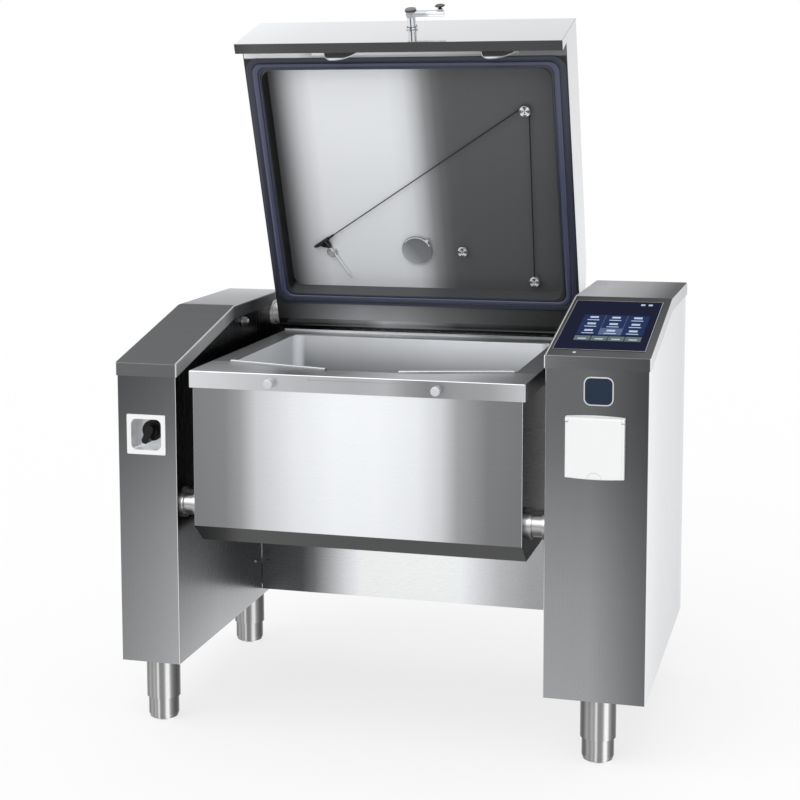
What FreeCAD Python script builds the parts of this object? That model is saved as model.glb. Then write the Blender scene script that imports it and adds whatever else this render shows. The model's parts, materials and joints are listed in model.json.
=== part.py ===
import FreeCAD, Part
import math
import os

# Tilting multifunction cooker with its lid open, in millimetres.
# X runs to the right, Y to the back, Z up. The origin is on the floor under the middle of the machine.

Vec = FreeCAD.Vector

# Overall sizes
front = -388.5            # front faces of the two pillars
depth = 815.0             # front to back of a pillar
back = front + depth
left_width = 152.0
right_width = 235.0
bay = 898.0               # clear width between the pillars, where the pan hangs
outer_left = -(left_width + bay + right_width) / 2
inner_left = outer_left + left_width
inner_right = inner_left + bay
outer_right = inner_right + right_width
pillar_bottom = 165.0
sheet = 2.0               # casing sheet
frame_plate = 6.0         # welded side plate inside a pillar
post = 25.0               # square posts of the inner frames
touch = 0.3               # air left between curved faces of different moving groups
running = 0.06            # radial play of a shaft in its bore

# Roof of each pillar: height at the front edge, height of the flat, and where the flat starts
roofs = {
    "left": {"front_top": 911.0, "flat_top": 1002.0, "slope_end": front + 420.0, "skirt": 33.0},
    "right": {"front_top": 968.0, "flat_top": 1051.5, "slope_end": front + 440.0, "skirt": 31.0},
}
proud = 3.5               # the roof caps stand out this far past the casing
fold = 2.5                # outer radius of a folded sheet edge
cap_corner = 5.0          # rounding of the caps' upright corners

# Tilting axis of the pan
tilt_y = front + 50.0
tilt_z = 563.0
trunnion_r = 31.0
tilt_ring_r = 37.5
ring_width = 8.0

# Pan
pan_mid = (inner_left + inner_right) / 2
rim_z = 900.0
rim_gap = 41.5            # air between the rim and a pillar
rim_half = bay / 2 - rim_gap
rim_front = front - 19.0
rim_back = back - 93.0
rim_sheet = 3.0
rim_skirt = 41.0
body_inset = 7.0          # the rim stands out this far past the pan's sides
body_half = rim_half - body_inset
mouth_half = body_half - 45.0    # half width of the basin's mouth
mouth_front = front + 141.0
mouth_back = back - 161.0
spout_half = 83.5         # half width of the pouring spout
spout_front = front + 68.0
mouth_corner = 34.0
basin_wall = 3.0
basin_floor = 652.0
floor_round = 26.0
heater_thick = 22.0
body_front = front - 12.5
body_back = back - 115.0
body_bottom = 472.0
body_bend = 520.0         # height where the front turns under
body_under = 58.0         # how far the turned part runs back
body_sheet = 1.5

# Lid, drawn closed and then turned open. s runs forward from the hinge axis, n runs down from it.
hinge_y = back - 60.0
hinge_z = 946.0
lid_open = 68.8           # angle between closed and the open rest position
lid_gap = 28.0            # air between the lid and a pillar
lid_half = bay / 2 - lid_gap
lid_front = hinge_y - front + 70.0
lid_top_front = lid_front - 19.0
lid_top_n = -120.0
lid_apron = 95.0          # lower edge of the front apron
lid_hem = 26.0            # thickness of the folded apron
lid_seat = 40.0           # underside of the lid's flange
lid_nose = 40.0           # rounding about the hinge
lid_sheet = 2.0
hinge_tube_r = 29.0
hinge_bore = 25.0
hinge_ring_r = 35.0
hinge_flange_r = 47.0
tray_half = lid_half - 42.0
tray_front = lid_front - 92.0
tray_back = 84.0
tray_deep = 52.0
tray_corner = 30.0
seal_half = lid_half - 10.0
seal_front = lid_front - 59.0
seal_back = 53.0
seal_band = 31.0
seal_low = hinge_z - rim_z - touch

# Lid lock: pins on the pan, a sliding bar with claws in the lid, a turning handle
pin_offset = 202.0
pin_r = 14.0
pin_long = 22.5
pin_z = rim_z - 22.0
lock_travel = 30.0
bar_s = (lid_front - 49.5, lid_front - 28.5)
bar_n = (lid_seat + touch, lid_seat + 9.0)
handle_x = pan_mid + 15.5
handle_n = -38.0
handle_shaft_r = 8.0
crank_r = 28.0

out = "parts"
os.makedirs(out, exist_ok=True)


def save(name, shape):
    shape = shape.removeSplitter()
    shape.exportStep(os.path.join(out, name + ".step"))
    print(name, len(shape.Solids), shape.isValid(), round(shape.Volume / 1000.0, 1))


def box(x0, x1, y0, y1, z0, z1):
    return Part.makeBox(x1 - x0, y1 - y0, z1 - z0, Vec(x0, y0, z0))


def rod_x(radius, x0, x1, y, z):
    return Part.makeCylinder(radius, x1 - x0, Vec(x0, y, z), Vec(1, 0, 0))


def rod_y(radius, y0, y1, x, z):
    return Part.makeCylinder(radius, y1 - y0, Vec(x, y0, z), Vec(0, 1, 0))


def rod_z(radius, z0, z1, x, y):
    return Part.makeCylinder(radius, z1 - z0, Vec(x, y, z0), Vec(0, 0, 1))


def prism_x(points, x0, x1):
    wire = Part.makePolygon([Vec(x0, y, z) for y, z in points + points[:1]])
    return Part.Face(wire).extrude(Vec(x1 - x0, 0, 0))


def prism_z(points, z0, z1):
    wire = Part.makePolygon([Vec(x, y, z0) for x, y in points + points[:1]])
    return Part.Face(wire).extrude(Vec(0, 0, z1 - z0))


def joined(shapes):
    return shapes[0].multiFuse(shapes[1:]) if len(shapes) > 1 else shapes[0]


def along(shape, direction):
    """Straight edges of a shape that run in one direction."""
    found = []
    for edge in shape.Edges:
        if edge.Curve.TypeId == "Part::GeomLine":
            step = edge.tangentAt(edge.FirstParameter)
            if abs(abs(step.dot(direction)) - 1) < 1e-6:
                found.append(edge)
    return found


def rounded_z(x0, x1, y0, y1, z0, z1, radius):
    block = box(x0, x1, y0, y1, z0, z1)
    return block.makeFillet(radius, along(block, Vec(0, 0, 1)))


def rounded_y(x0, x1, y0, y1, z0, z1, radius):
    block = box(x0, x1, y0, y1, z0, z1)
    return block.makeFillet(radius, along(block, Vec(0, 1, 0)))


# Pillars

def roof_line(roof, inset):
    """Front, slope and flat of a roof, moved inwards by the sheet."""
    rise = roof["flat_top"] - roof["front_top"]
    run = roof["slope_end"] - (front - proud)
    tilt = math.atan2(rise, run)
    drop = inset / math.cos(tilt)
    start = front - proud + inset
    first = roof["front_top"] + inset * math.tan(tilt) - drop
    bend = roof["slope_end"] + (drop - inset) / math.tan(tilt)
    flat = roof["flat_top"] - inset
    return [(start, first), (bend, flat), (back + proud - inset, flat)]


def under_roof(roof, inset, low, x0, x1):
    line = roof_line(roof, inset)
    return prism_x([(line[0][0], low)] + line + [(line[-1][0], low)], x0, x1)


def skirted_cap(roof, x0, x1):
    outer = under_roof(roof, 0.0, pillar_bottom, x0 - proud, x1 + proud)
    outer = outer.makeFillet(cap_corner, along(outer, Vec(0, 0, 1)))
    ridge = [e for e in along(outer, Vec(1, 0, 0)) if e.CenterOfMass.z > roof["front_top"] - 1]
    outer = outer.makeFillet(4.0, ridge)
    inner = under_roof(roof, sheet, pillar_bottom - 1, x0 - proud + sheet, x1 + proud - sheet)
    shell = outer.cut(inner)
    line = roof_line(roof, 0.0)
    low = [(y, z - roof["skirt"]) for y, z in line]
    ends = [(back + 50, pillar_bottom - 5), (front - 50, pillar_bottom - 5), (front - 50, low[0][1])]
    cutter = prism_x(low + [(back + 50, low[-1][1])] + ends, x0 - 50, x1 + 50)
    return shell.cut(cutter)


def wrap_casing(roof, x0, x1):
    """Front and both sides of a pillar in one folded sheet."""
    body = under_roof(roof, sheet, pillar_bottom, x0, x1)
    wrap = box(x0, x1, front, back, pillar_bottom, roof["flat_top"])
    wrap = wrap.makeFillet(fold, [e for e in along(wrap, Vec(0, 0, 1)) if e.CenterOfMass.y < front + 1])
    body = body.common(wrap)
    inside = box(x0 + sheet, x1 - sheet, front + sheet, back + 1, pillar_bottom - 1, roof["flat_top"] + 1)
    return body.cut(inside)


def rear_cover(roof, x0, x1):
    top = roof["flat_top"] - sheet
    cover = box(x0 + sheet, x1 - sheet, back - sheet, back, pillar_bottom, top)
    slots = []
    for k in range(8):
        z = pillar_bottom + 120 + 18 * k
        slots.append(box(x0 + 40, x1 - 40, back - 5, back + 5, z, z + 6))
    screws = []
    for x in (x0 + 14, x1 - 14):
        for z in (pillar_bottom + 30, (pillar_bottom + top) / 2, top - 60):
            screws.append(rod_y(4.5, back, back + 2.5, x, z))
    return joined([cover.cut(joined(slots))] + screws)


foot_inset = (82.0, depth - 75.0)       # foot centres behind the front
sleeve_r = 42.0
foot_r = 38.0
sleeve_low = 57.0
base_thick = 5.0
foot_inside = 60.0


def base_with_sleeves(x0, x1):
    floor_top = pillar_bottom + base_thick
    plate = box(x0 + sheet, x1 - sheet, front + sheet, back - sheet, pillar_bottom, floor_top)
    mid = (x0 + x1) / 2
    parts = [plate]
    for inset in foot_inset:
        tube = rod_z(sleeve_r, sleeve_low, pillar_bottom, mid, front + inset)
        parts.append(tube)
    solid = joined(parts)
    for inset in foot_inset:
        solid = solid.cut(rod_z(foot_r + running, sleeve_low - 1, pillar_bottom - 8, mid, front + inset))
    return solid


def levelling_foot(x, y):
    profile = [(0, 0), (foot_r - 9, 0), (foot_r - 3, 4), (foot_r - 1.5, 9), (foot_r, 13)]
    profile += [(foot_r, sleeve_low + foot_inside - 4), (foot_r - 4, sleeve_low + foot_inside)]
    profile += [(0, sleeve_low + foot_inside)]
    wire = Part.makePolygon([Vec(r, 0, z) for r, z in profile + profile[:1]])
    foot = Part.Face(wire).revolve(Vec(0, 0, 0), Vec(0, 0, 1), 360)
    foot.translate(Vec(x, y, 0))
    return foot


beam = 60.0
beam_y = back - 147.0
beam_z = pillar_bottom + 22.0


def inner_frame(roof, x0, x1, inner_x, side):
    """Side plate on the pan side, two posts on the far side, and rails between them."""
    low = pillar_bottom + base_thick
    roof_under = under_roof(roof, sheet + 4.0, low, x0 + sheet, x1 - sheet)
    y0, y1 = front + sheet, back - sheet
    top = 2000
    if side == "left":
        plate = box(inner_x - sheet - frame_plate, inner_x - sheet, y0, y1, low, top)
        far0, far1 = x0 + sheet, x0 + sheet + post
        rail0, rail1 = far0, inner_x - sheet - frame_plate
    else:
        plate = box(inner_x + sheet, inner_x + sheet + frame_plate, y0, y1, low, top)
        far0, far1 = x1 - sheet - post, x1 - sheet
        rail0, rail1 = inner_x + sheet + frame_plate, far1
    for z0, z1 in ((low + 70, tilt_z - 110), (tilt_z + 110, 830.0)):
        for near, far in ((170, 380), (430, depth - 195)):
            plate = plate.cut(box(outer_left, outer_right, front + near, front + far, z0, z1))
    parts = [plate]
    for y in (y0, y1 - post):
        parts.append(box(far0, far1, y, y + post, low, top))
        parts.append(box(rail0, rail1, y, y + post, low, low + post))
    for z in (low, roof["front_top"] - 60):
        parts.append(box(far0, far1, y0, y1, z, z + post))
    rail_top = hinge_z - hinge_flange_r - 2
    parts.append(box(rail0, rail1, y1 - post, y1, rail_top - post, rail_top))
    frame = joined(parts).common(roof_under)
    frame = frame.cut(rod_x(tilt_ring_r - 2.5, outer_left, outer_right, tilt_y, tilt_z))
    return frame.cut(rod_x(hinge_ring_r - 2.0, outer_left, outer_right, hinge_y, hinge_z))


def collar_bearing(bore, spigot, ring, flange, y, z, face_x, side):
    """Flange housing bolted inside the side plate, with a spigot that ends in a ring outside the casing."""
    sign = 1.0 if side == "left" else -1.0
    inside = face_x - sign * (sheet + frame_plate)
    shapes = [
        (flange, inside - sign * 12.0, inside),
        (flange - 14.0, inside - sign * 30.0, inside - sign * 12.0),
        (spigot, inside, face_x),
        (ring, face_x, face_x + sign * ring_width),
    ]
    solid = joined([rod_x(r, min(a, b), max(a, b), y, z) for r, a, b in shapes])
    reach = rod_x(bore + running, face_x - 100, face_x + 100, y, z)
    solid = solid.cut(reach)
    for k in range(4):
        turn = math.radians(45 + 90 * k)
        cy, cz = y + (flange - 7.0) * math.cos(turn), z + (flange - 7.0) * math.sin(turn)
        a, b = inside - sign * 16.0, inside - sign * 12.0
        solid = solid.fuse(rod_x(4.5, min(a, b), max(a, b), cy, cz))
    return solid


beam_left = inner_left - sheet - frame_plate
beam_right = inner_right + sheet + frame_plate
beam_hole = box(beam_left - 1, beam_right + 1, beam_y, beam_y + beam, beam_z, beam_z + beam)
cross_beam = box(inner_left - sheet, inner_right + sheet, beam_y, beam_y + beam, beam_z, beam_z + beam)
bore_y, bore_z = (beam_y + 4, beam_y + beam - 4), (beam_z + 4, beam_z + beam - 4)
cross_beam = cross_beam.cut(box(outer_left, outer_right, bore_y[0], bore_y[1], bore_z[0], bore_z[1]))
save("cross_beam", cross_beam)

panel_front = back - 184.0
panel_low = 184.0
panel_top = 450.0
panel_edge = 1.0
panel_left, panel_right = inner_left + panel_edge, inner_right - panel_edge
panel = joined([
    box(panel_left, panel_right, panel_front, panel_front + sheet, panel_low, panel_top),
    box(panel_left, panel_right, panel_front, panel_front + 30, panel_top - sheet, panel_top),
    box(inner_left + 12, inner_right - 12, panel_front, beam_y, beam_z + beam - 8, beam_z + beam - 6),
])
screws = [rod_y(5.0, panel_front - 3, panel_front, x, 263.0) for x in (panel_left + 16, panel_right - 16)]
save("back_panel", joined([panel] + screws))

# Tie between the pillars behind the pan, below the lid's hinge
tie_y = back - 18.0
tie_low, tie_top = hinge_z - 176.0, hinge_z - 21.0
tie = joined([
    box(inner_left, inner_right, tie_y, tie_y + sheet, tie_low, tie_top),
    box(inner_left, inner_right, tie_y - 22, tie_y, tie_low, tie_low + sheet),
])
save("rear_tie", tie)

side_screw_y, side_screw_z = back - 235.0, 276.0
save("side_screw", rod_x(5.0, inner_left, inner_left + 3, side_screw_y, side_screw_z))

switch_mid = ((outer_left + inner_left) / 2 - 1.5, 735.0)
switch_plate_size = (100.0, 98.0)
switch_hole = (78.0, 76.0)
cup_deep = 34.0
cup_wall = 1.5
socket_mid = ((inner_right + outer_right) / 2 - 2.0, 760.5)
socket_size = (134.0, 145.0)
socket_hole = (92.0, 92.0)
stop_y, stop_z = hinge_y - 260.0, hinge_z + 7.0
stop_thread_r = 6.0

pillars = [("left", outer_left, inner_left, inner_left), ("right", inner_right, outer_right, inner_right)]
for side, x0, x1, face in pillars:
    roof = roofs[side]
    casing = wrap_casing(roof, x0, x1)
    casing = casing.cut(beam_hole)
    casing = casing.cut(rod_x(tilt_ring_r - 2.5, face - 20, face + 20, tilt_y, tilt_z))
    casing = casing.cut(rod_x(hinge_ring_r - 2.0, face - 20, face + 20, hinge_y, hinge_z))
    frame = inner_frame(roof, x0, x1, face, side)
    cap = skirted_cap(roof, x0, x1)
    cap = cap.cut(rod_x(hinge_ring_r + 1.0, face - 20, face + 20, hinge_y, hinge_z))
    if side == "left":
        half_x, half_z = switch_hole[0] / 2 + cup_wall, switch_hole[1] / 2 + cup_wall
        opening = rounded_y(switch_mid[0] - half_x, switch_mid[0] + half_x, front - 1, front + 5,
                            switch_mid[1] - half_z, switch_mid[1] + half_z, 15.5)
        casing = casing.cut(opening)
        bolt_hole = rod_x(stop_thread_r, inner_left - 20, inner_left + 5, stop_y, stop_z)
        casing = casing.cut(bolt_hole)
        frame = frame.cut(bolt_hole)
    else:
        half_x, half_z = socket_hole[0] / 2, socket_hole[1] / 2
        casing = casing.cut(box(socket_mid[0] - half_x, socket_mid[0] + half_x, front - 1, front + 5,
                                socket_mid[1] - half_z, socket_mid[1] + half_z))
        frame = frame.cut(box(socket_mid[0] - half_x - 4, socket_mid[0] + half_x + 4, front - 1, front + 62,
                              socket_mid[1] - half_z - 4, socket_mid[1] + half_z + 4))
        right_cap = cap
    save(side + "_casing", casing)
    save(side + "_frame", frame)
    save(side + "_rear_cover", rear_cover(roof, x0, x1))
    save(side + "_base", base_with_sleeves(x0, x1))
    if side == "left":
        save("left_cap", cap)
    for place, inset in zip(("front", "rear"), foot_inset):
        save(side + "_" + place + "_foot", levelling_foot((x0 + x1) / 2, front + inset))
    save("tilt_bearing_" + side, collar_bearing(trunnion_r, tilt_ring_r - 2.5, tilt_ring_r, 56.0,
                                                tilt_y, tilt_z, face, side).cut(
        box(outer_left, outer_right, front - 50, front + sheet, 0, tilt_z + 100)))
    save("lid_bearing_" + side, collar_bearing(hinge_tube_r, hinge_ring_r - 2.0, hinge_ring_r, hinge_flange_r,
                                               hinge_y, hinge_z, face, side).cut(
        box(outer_left, outer_right, back - sheet, back + 50, 0, hinge_z + 100)))

# Stop bolt for the open lid on the inner face of the left pillar: washer, hexagon head and a rounded end
stop_hex = 22.0           # across the corners of the head
hexagon = []
for k in range(6):
    turn = math.radians(60 * k + 12)
    hexagon.append((stop_y + stop_hex / 2 * math.cos(turn), stop_z + stop_hex / 2 * math.sin(turn)))
stop_end = rod_x(stop_thread_r, inner_left - sheet - frame_plate - 12, inner_left + 17, stop_y, stop_z)
stop_bolt = joined([
    stop_end.makeChamfer(1.5, [e for e in stop_end.Edges if e.CenterOfMass.x > inner_left + 16]),
    rod_x(13.5, inner_left, inner_left + 3, stop_y, stop_z),
    prism_x(hexagon, inner_left + 3, inner_left + 12),
])
save("lid_stop_bolt", stop_bolt)

# Main switch
plate_x, plate_z = switch_plate_size[0] / 2, switch_plate_size[1] / 2
hole_x, hole_z = switch_hole[0] / 2, switch_hole[1] / 2
sx, sz = switch_mid
plate = rounded_y(sx - plate_x, sx + plate_x, front - 3, front, sz - plate_z, sz + plate_z, 3)
plate = plate.cut(rounded_y(sx - hole_x, sx + hole_x, front - 5, front + 5, sz - hole_z, sz + hole_z, 14))
save("switch_plate", plate)
cup = rounded_y(sx - hole_x - cup_wall, sx + hole_x + cup_wall, front, front + cup_deep + cup_wall,
                sz - hole_z - cup_wall, sz + hole_z + cup_wall, 15.5)
cup = cup.cut(rounded_y(sx - hole_x, sx + hole_x, front - 1, front + cup_deep, sz - hole_z, sz + hole_z, 14))
knob_x, knob_z = sx + 6.0, sz + 6.0
cup = cup.cut(rod_y(5.0 + running, front, front + 60, knob_x, knob_z))
save("switch_recess", cup)
body_y = front + cup_deep + cup_wall
switch_body = rounded_y(knob_x - 28, knob_x + 28, body_y, body_y + 62, knob_z - 30, knob_z + 30, 3)
switch_body = switch_body.cut(rod_y(5.0 + running, body_y - 1, body_y + 22, knob_x, knob_z))
save("switch_body", switch_body)
dial_y = front + cup_deep - touch
dial = rod_y(25.5, dial_y - 12, dial_y, knob_x, knob_z)
boss = rod_y(17.0, dial_y - 20, dial_y - 12, knob_x, knob_z)
grip = rounded_y(knob_x - 9, knob_x + 9, dial_y - 36, dial_y - 12, knob_z - 31, knob_z + 16, 8)
grip.rotate(Vec(knob_x, 0, knob_z), Vec(0, 1, 0), 24)
knob = joined([dial, boss, grip, rod_y(5.0, dial_y, body_y + 20, knob_x, knob_z)])
save("switch_knob", knob)

# Power socket with a sprung cover
fx, fz = socket_size[0] / 2, socket_size[1] / 2
cx, cz = socket_mid
hx, hz = socket_hole[0] / 2, socket_hole[1] / 2
lug = 7.0
barrel_r = 6.0
bulge = 3.0               # the cover's top and bottom edges bow out by this much
edge_strip = 6.0          # the cover's sides are stepped back over this width
pivot_y, pivot_z, pivot_r = front - 11.0, cz + fz - barrel_r - bulge, 2.0
frame_y = front - 4.0
cover_front = pivot_y - barrel_r


def bowed(x0, x1, z0, z1, y0, y1):
    """A plate whose top and bottom edges are arcs."""
    mid = (x0 + x1) / 2
    low, high = Vec(x0, y0, z0 + bulge), Vec(x1, y0, z0 + bulge)
    upper, lower = Vec(x1, y0, z1 - bulge), Vec(x0, y0, z1 - bulge)
    wire = Part.Wire([
        Part.Arc(low, Vec(mid, y0, z0), high).toShape(), Part.makeLine(high, upper),
        Part.Arc(upper, Vec(mid, y0, z1), lower).toShape(), Part.makeLine(lower, low),
    ])
    return Part.Face(wire).extrude(Vec(0, y1 - y0, 0))


mount_plate = bowed(cx - fx, cx + fx, cz - fz, cz + fz, frame_y, front)
mount_plate = mount_plate.cut(box(cx - hx, cx + hx, frame_y - 1, front + 1, cz - hz, cz + hz))
lugs = []
for sign in (-1, 1):
    a, b = sorted((cx + sign * fx, cx + sign * (fx - lug)))
    c, d = sorted((cx + sign * (fx - lug), cx + sign * (fx - lug - 6)))
    lugs += [rod_x(barrel_r, a, b, pivot_y, pivot_z), box(a, b, pivot_y, frame_y, pivot_z - 5, pivot_z + 5),
             rod_x(pivot_r, c, d, pivot_y, pivot_z)]
save("socket_frame", joined([mount_plate] + lugs))
insert = box(cx - hx, cx + hx, front - 2, front + 48, cz - hz, cz + hz)
insert = insert.cut(rod_y(22.0, front - 3, front + 34, cx, cz))
for offset in (-9.5, 9.5):
    insert = insert.cut(rod_y(2.6, front + 33, front + 46, cx + offset, cz))
save("socket_insert", insert)
cover_back = frame_y - touch
flap = bowed(cx - fx, cx + fx, cz - fz, cz + fz, cover_front, cover_back)
rims = [e for e in flap.Edges if abs(e.CenterOfMass.y - cover_front) < 0.01 and e.CenterOfMass.z < pivot_z]
flap = flap.makeFillet(2.5, rims)
hollow = bowed(cx - fx + 3, cx + fx - 3, cz - fz + 3, pivot_z - 12, cover_front + 3.5, cover_back + 1)
flap = flap.cut(hollow)
for sign in (-1, 1):
    a, b = sorted((cx + sign * (fx + 1), cx + sign * (fx - lug - touch)))
    flap = flap.cut(box(a, b, cover_front - 1, cover_back + 1, pivot_z - barrel_r - touch, cz + fz + 1))
    e, f = sorted((cx + sign * (fx + 1), cx + sign * (fx - edge_strip)))
    flap = flap.cut(box(e, f, cover_front - 1, cover_front + 0.9, cz - fz - 1, pivot_z - 4))
flap = flap.cut(rod_x(pivot_r + running, cx - fx, cx + fx, pivot_y, pivot_z))
above = box(cx - fx - 1, cx + fx + 1, cover_front - 1, front, pivot_z, cz + fz + 2)
flap = flap.cut(above.cut(rod_x(barrel_r, cx - fx - 1, cx + fx + 1, pivot_y, pivot_z)))
thumb = rod_y(17.0, cover_front - 1, cover_front + 1.5, cx, cz - fz)
flap = flap.cut(thumb.cut(rod_y(15.2, cover_front - 2, cover_front + 2, cx, cz - fz)))
save("socket_flap", flap)

# Display on the right roof slope
roof = roofs["right"]
slope = math.atan2(roof["flat_top"] - roof["front_top"], roof["slope_end"] - (front - proud))
slope_deg = math.degrees(slope)
glass_x = (inner_right + 9.5, outer_right - 14.5)
glass_run = (40.0, 412.0)
glass_thick = 4.0


def on_slope(shape):
    """Turns a shape drawn flat at the roof's front edge up onto the slope."""
    shape.rotate(Vec(0, 0, 0), Vec(1, 0, 0), slope_deg)
    shape.translate(Vec(0, front - proud, roof["front_top"]))
    return shape


seat = rounded_z(glass_x[0], glass_x[1], glass_run[0], glass_run[1], -10, 10, 6)
save("right_cap", right_cap.cut(on_slope(seat)))
glass = rounded_z(glass_x[0], glass_x[1], glass_run[0], glass_run[1], 1.2 - glass_thick, 1.2, 6)
save("display_glass", on_slope(glass))
control = box(glass_x[0] + 15, glass_x[1] - 30, glass_run[0] + 20, glass_run[1] - 30, -44, 1.2 - glass_thick)
save("controller", on_slope(control))

# Power electronics in the right pillar
cabinet_y, cabinet_z = (front + 300.0, back - 175.0), (300.0, 700.0)
cabinet = box(inner_right + 40, outer_right - 40, cabinet_y[0], cabinet_y[1], cabinet_z[0], cabinet_z[1])
fins = []
for k in range(10):
    x = inner_right + 55 + 12 * k
    fins.append(box(x, x + 4, cabinet_y[0] - 30, cabinet_y[0], cabinet_z[0] + 20, cabinet_z[1] - 20))
plate_face = inner_right + sheet + frame_plate
bracket_y = (front + 385.0, front + 425.0)
brackets = []
for z in (cabinet_z[0] + 20, cabinet_z[1] - 50):
    brackets.append(box(plate_face, inner_right + 40, bracket_y[0], bracket_y[1], z, z + 30))
save("power_unit", joined([cabinet] + fins + brackets))

# Tilting drive in the left pillar, on the end of the left trunnion
shaft_end = inner_left - 108.0
drive = box(inner_left - 104, inner_left - 42, front + 6, front + 150, tilt_z - 66, tilt_z + 66)
drive = drive.makeFillet(10.0, along(drive, Vec(1, 0, 0)))
drive_mid = inner_left - 73.0
drive = joined([
    drive,
    rod_z(38.0, 250, tilt_z - 66, drive_mid, front + 100),
    rod_z(30.0, 240, 250, drive_mid, front + 100),
    box(inner_left - sheet - frame_plate - 34, inner_left - sheet - frame_plate, front + 118, front + 150,
        tilt_z - 30, tilt_z + 30),
])
drive = drive.cut(rod_x(trunnion_r, inner_left - 120, inner_left - 20, tilt_y, tilt_z))
save("tilt_gearmotor", drive)

# Pan

pan_left, pan_right = pan_mid - body_half, pan_mid + body_half
rim_left, rim_right = pan_mid - rim_half, pan_mid + rim_half
half_mouth = [(mouth_half, mouth_back), (mouth_half, mouth_front), (spout_half, spout_front)]
mouth = [(pan_mid - x, y) for x, y in half_mouth] + [(pan_mid + x, y) for x, y in half_mouth[::-1]]


def mouth_block(grow, z0, z1, corner):
    wire = Part.makePolygon([Vec(x, y, z0) for x, y in mouth + mouth[:1]])
    face = Part.Face(wire)
    block = face.extrude(Vec(0, 0, z1 - z0))
    sharp = [e for e in along(block, Vec(0, 0, 1)) if e.CenterOfMass.y > mouth_front - 1]
    block = block.makeFillet(corner, sharp)
    soft = [e for e in along(block, Vec(0, 0, 1)) if e.CenterOfMass.y < spout_front + 1]
    block = block.makeFillet(corner / 2, soft)
    if grow:
        outline = [f for f in block.Faces if abs(f.CenterOfMass.z - z0) < 1e-6][0]
        block = outline.makeOffset2D(grow).extrude(Vec(0, 0, z1 - z0))
    return block


rim = box(rim_left, rim_right, rim_front, rim_back, rim_z - rim_skirt, rim_z)
skirt_mid = rim_z - rim_skirt / 2
rounded = [e for e in rim.Edges if e.CenterOfMass.z > rim_z - 1 or abs(e.CenterOfMass.z - skirt_mid) < 1]
rim = rim.makeFillet(2.5, rounded)
rim = rim.cut(box(rim_left + rim_sheet, rim_right - rim_sheet, rim_front + rim_sheet, rim_back - rim_sheet,
                  rim_z - rim_skirt - 1, rim_z - rim_sheet))
rim = rim.cut(mouth_block(0, rim_z - 10, rim_z + 10, mouth_corner))
ledge_high = 6.0
ledge_wide = 11.0
ledge_start = 4.0         # ledges begin this far in from the sides of the mouth
upstand = 5.0             # the rim's rear edge is turned up
ledges = []
for sign in (-1, 1):
    rise = (mouth_front - spout_front) / (mouth_half - spout_half)
    x0, y0 = pan_mid + sign * (mouth_half - ledge_start), mouth_front - ledge_start * rise
    x1, y1 = pan_mid + sign * (spout_half + 4), spout_front
    size = math.hypot(x1 - x0, y1 - y0)
    nx, ny = sign * (y0 - y1) / size * ledge_wide, -abs(x1 - x0) / size * ledge_wide
    points = [(x0, y0), (x1, y1), (x1 + nx, y1 + ny), (x0 + nx, y0 + ny)]
    ledge = prism_z(points, rim_z - rim_sheet, rim_z + ledge_high)
    top = [e for e in ledge.Edges if abs(e.CenterOfMass.z - rim_z - ledge_high) < 0.01]
    ledges.append(ledge.makeFillet(2.5, top))
turned_up = box(rim_left + 2.5, rim_right - 2.5, rim_back - rim_sheet, rim_back, rim_z - 5, rim_z + upstand)
rim = joined([rim, turned_up] + ledges)
groove_x = (pan_mid - 108.0, pan_mid + 118.0)
groove_z = (rim_z - 11.5, rim_z - 8.0)
groove = box(groove_x[0], groove_x[1], rim_front - 1, rim_front + 1.8, groove_z[0], groove_z[1])
rim = rim.cut(groove)
for sign in (-1, 1):
    rim = rim.cut(rod_y(6.0, rim_front - 1, rim_front + 5, pan_mid + sign * pin_offset, pin_z))
save("pan_rim", rim)

basin_top = rim_z - rim_sheet
outer_block = mouth_block(basin_wall, basin_floor - 4.0, basin_top, mouth_corner)
inner_block = mouth_block(0, basin_floor, rim_z + 20, mouth_corner)
low_edges = [e for e in inner_block.Edges if abs(e.CenterOfMass.z - basin_floor) < 0.01]
inner_block = inner_block.makeFillet(floor_round, low_edges)
save("basin", outer_block.cut(inner_block))

heater = mouth_block(-30.0, basin_floor - 4.0 - heater_thick, basin_floor - 4.0, mouth_corner)
save("heating_plate", heater)

wall = [(body_front, basin_top), (body_front, body_bend), (body_front + body_under, body_bottom),
        (body_back, body_bottom), (body_back, basin_top)]


def inset_profile(points, gap):
    face = Part.Face(Part.makePolygon([Vec(0, y, z) for y, z in points + points[:1]]))
    return face.makeOffset2D(-gap)


outer_body = prism_x(wall, pan_left, pan_right)
folds = [e for e in along(outer_body, Vec(0, 0, 1)) if e.CenterOfMass.y < body_front + 1]
outer_body = outer_body.makeFillet(body_sheet + 0.5, folds)
inner_face = inset_profile([(y, z + 60 if z == basin_top else z) for y, z in wall], body_sheet)
inner_face.translate(Vec(pan_left + body_sheet, 0, 0))
inner_body = inner_face.extrude(Vec(2 * (body_half - body_sheet), 0, 0))
casing = outer_body.cut(inner_body)
floor_cut = box(pan_left + 20, pan_right - 20, body_front + body_under + 18, body_back - 20,
                body_bottom - 5, body_bottom + 5)
casing = casing.cut(floor_cut)
for x0, x1 in ((pan_left - 1, pan_left + 5), (pan_right - 5, pan_right + 1)):
    casing = casing.cut(rod_x(trunnion_r, x0, x1, tilt_y, tilt_z))
save("pan_casing", casing)
bottom = box(pan_left + 8, pan_right - 8, body_front + body_under + 8, body_back - 8,
             body_bottom + body_sheet, body_bottom + body_sheet + 2)
for k in range(9):
    x = pan_mid - 240 + 60 * k
    bottom = bottom.cut(box(x - 15, x + 15, front + 260, front + 268, body_bottom, body_bottom + 10))
save("pan_bottom_cover", bottom)

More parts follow.
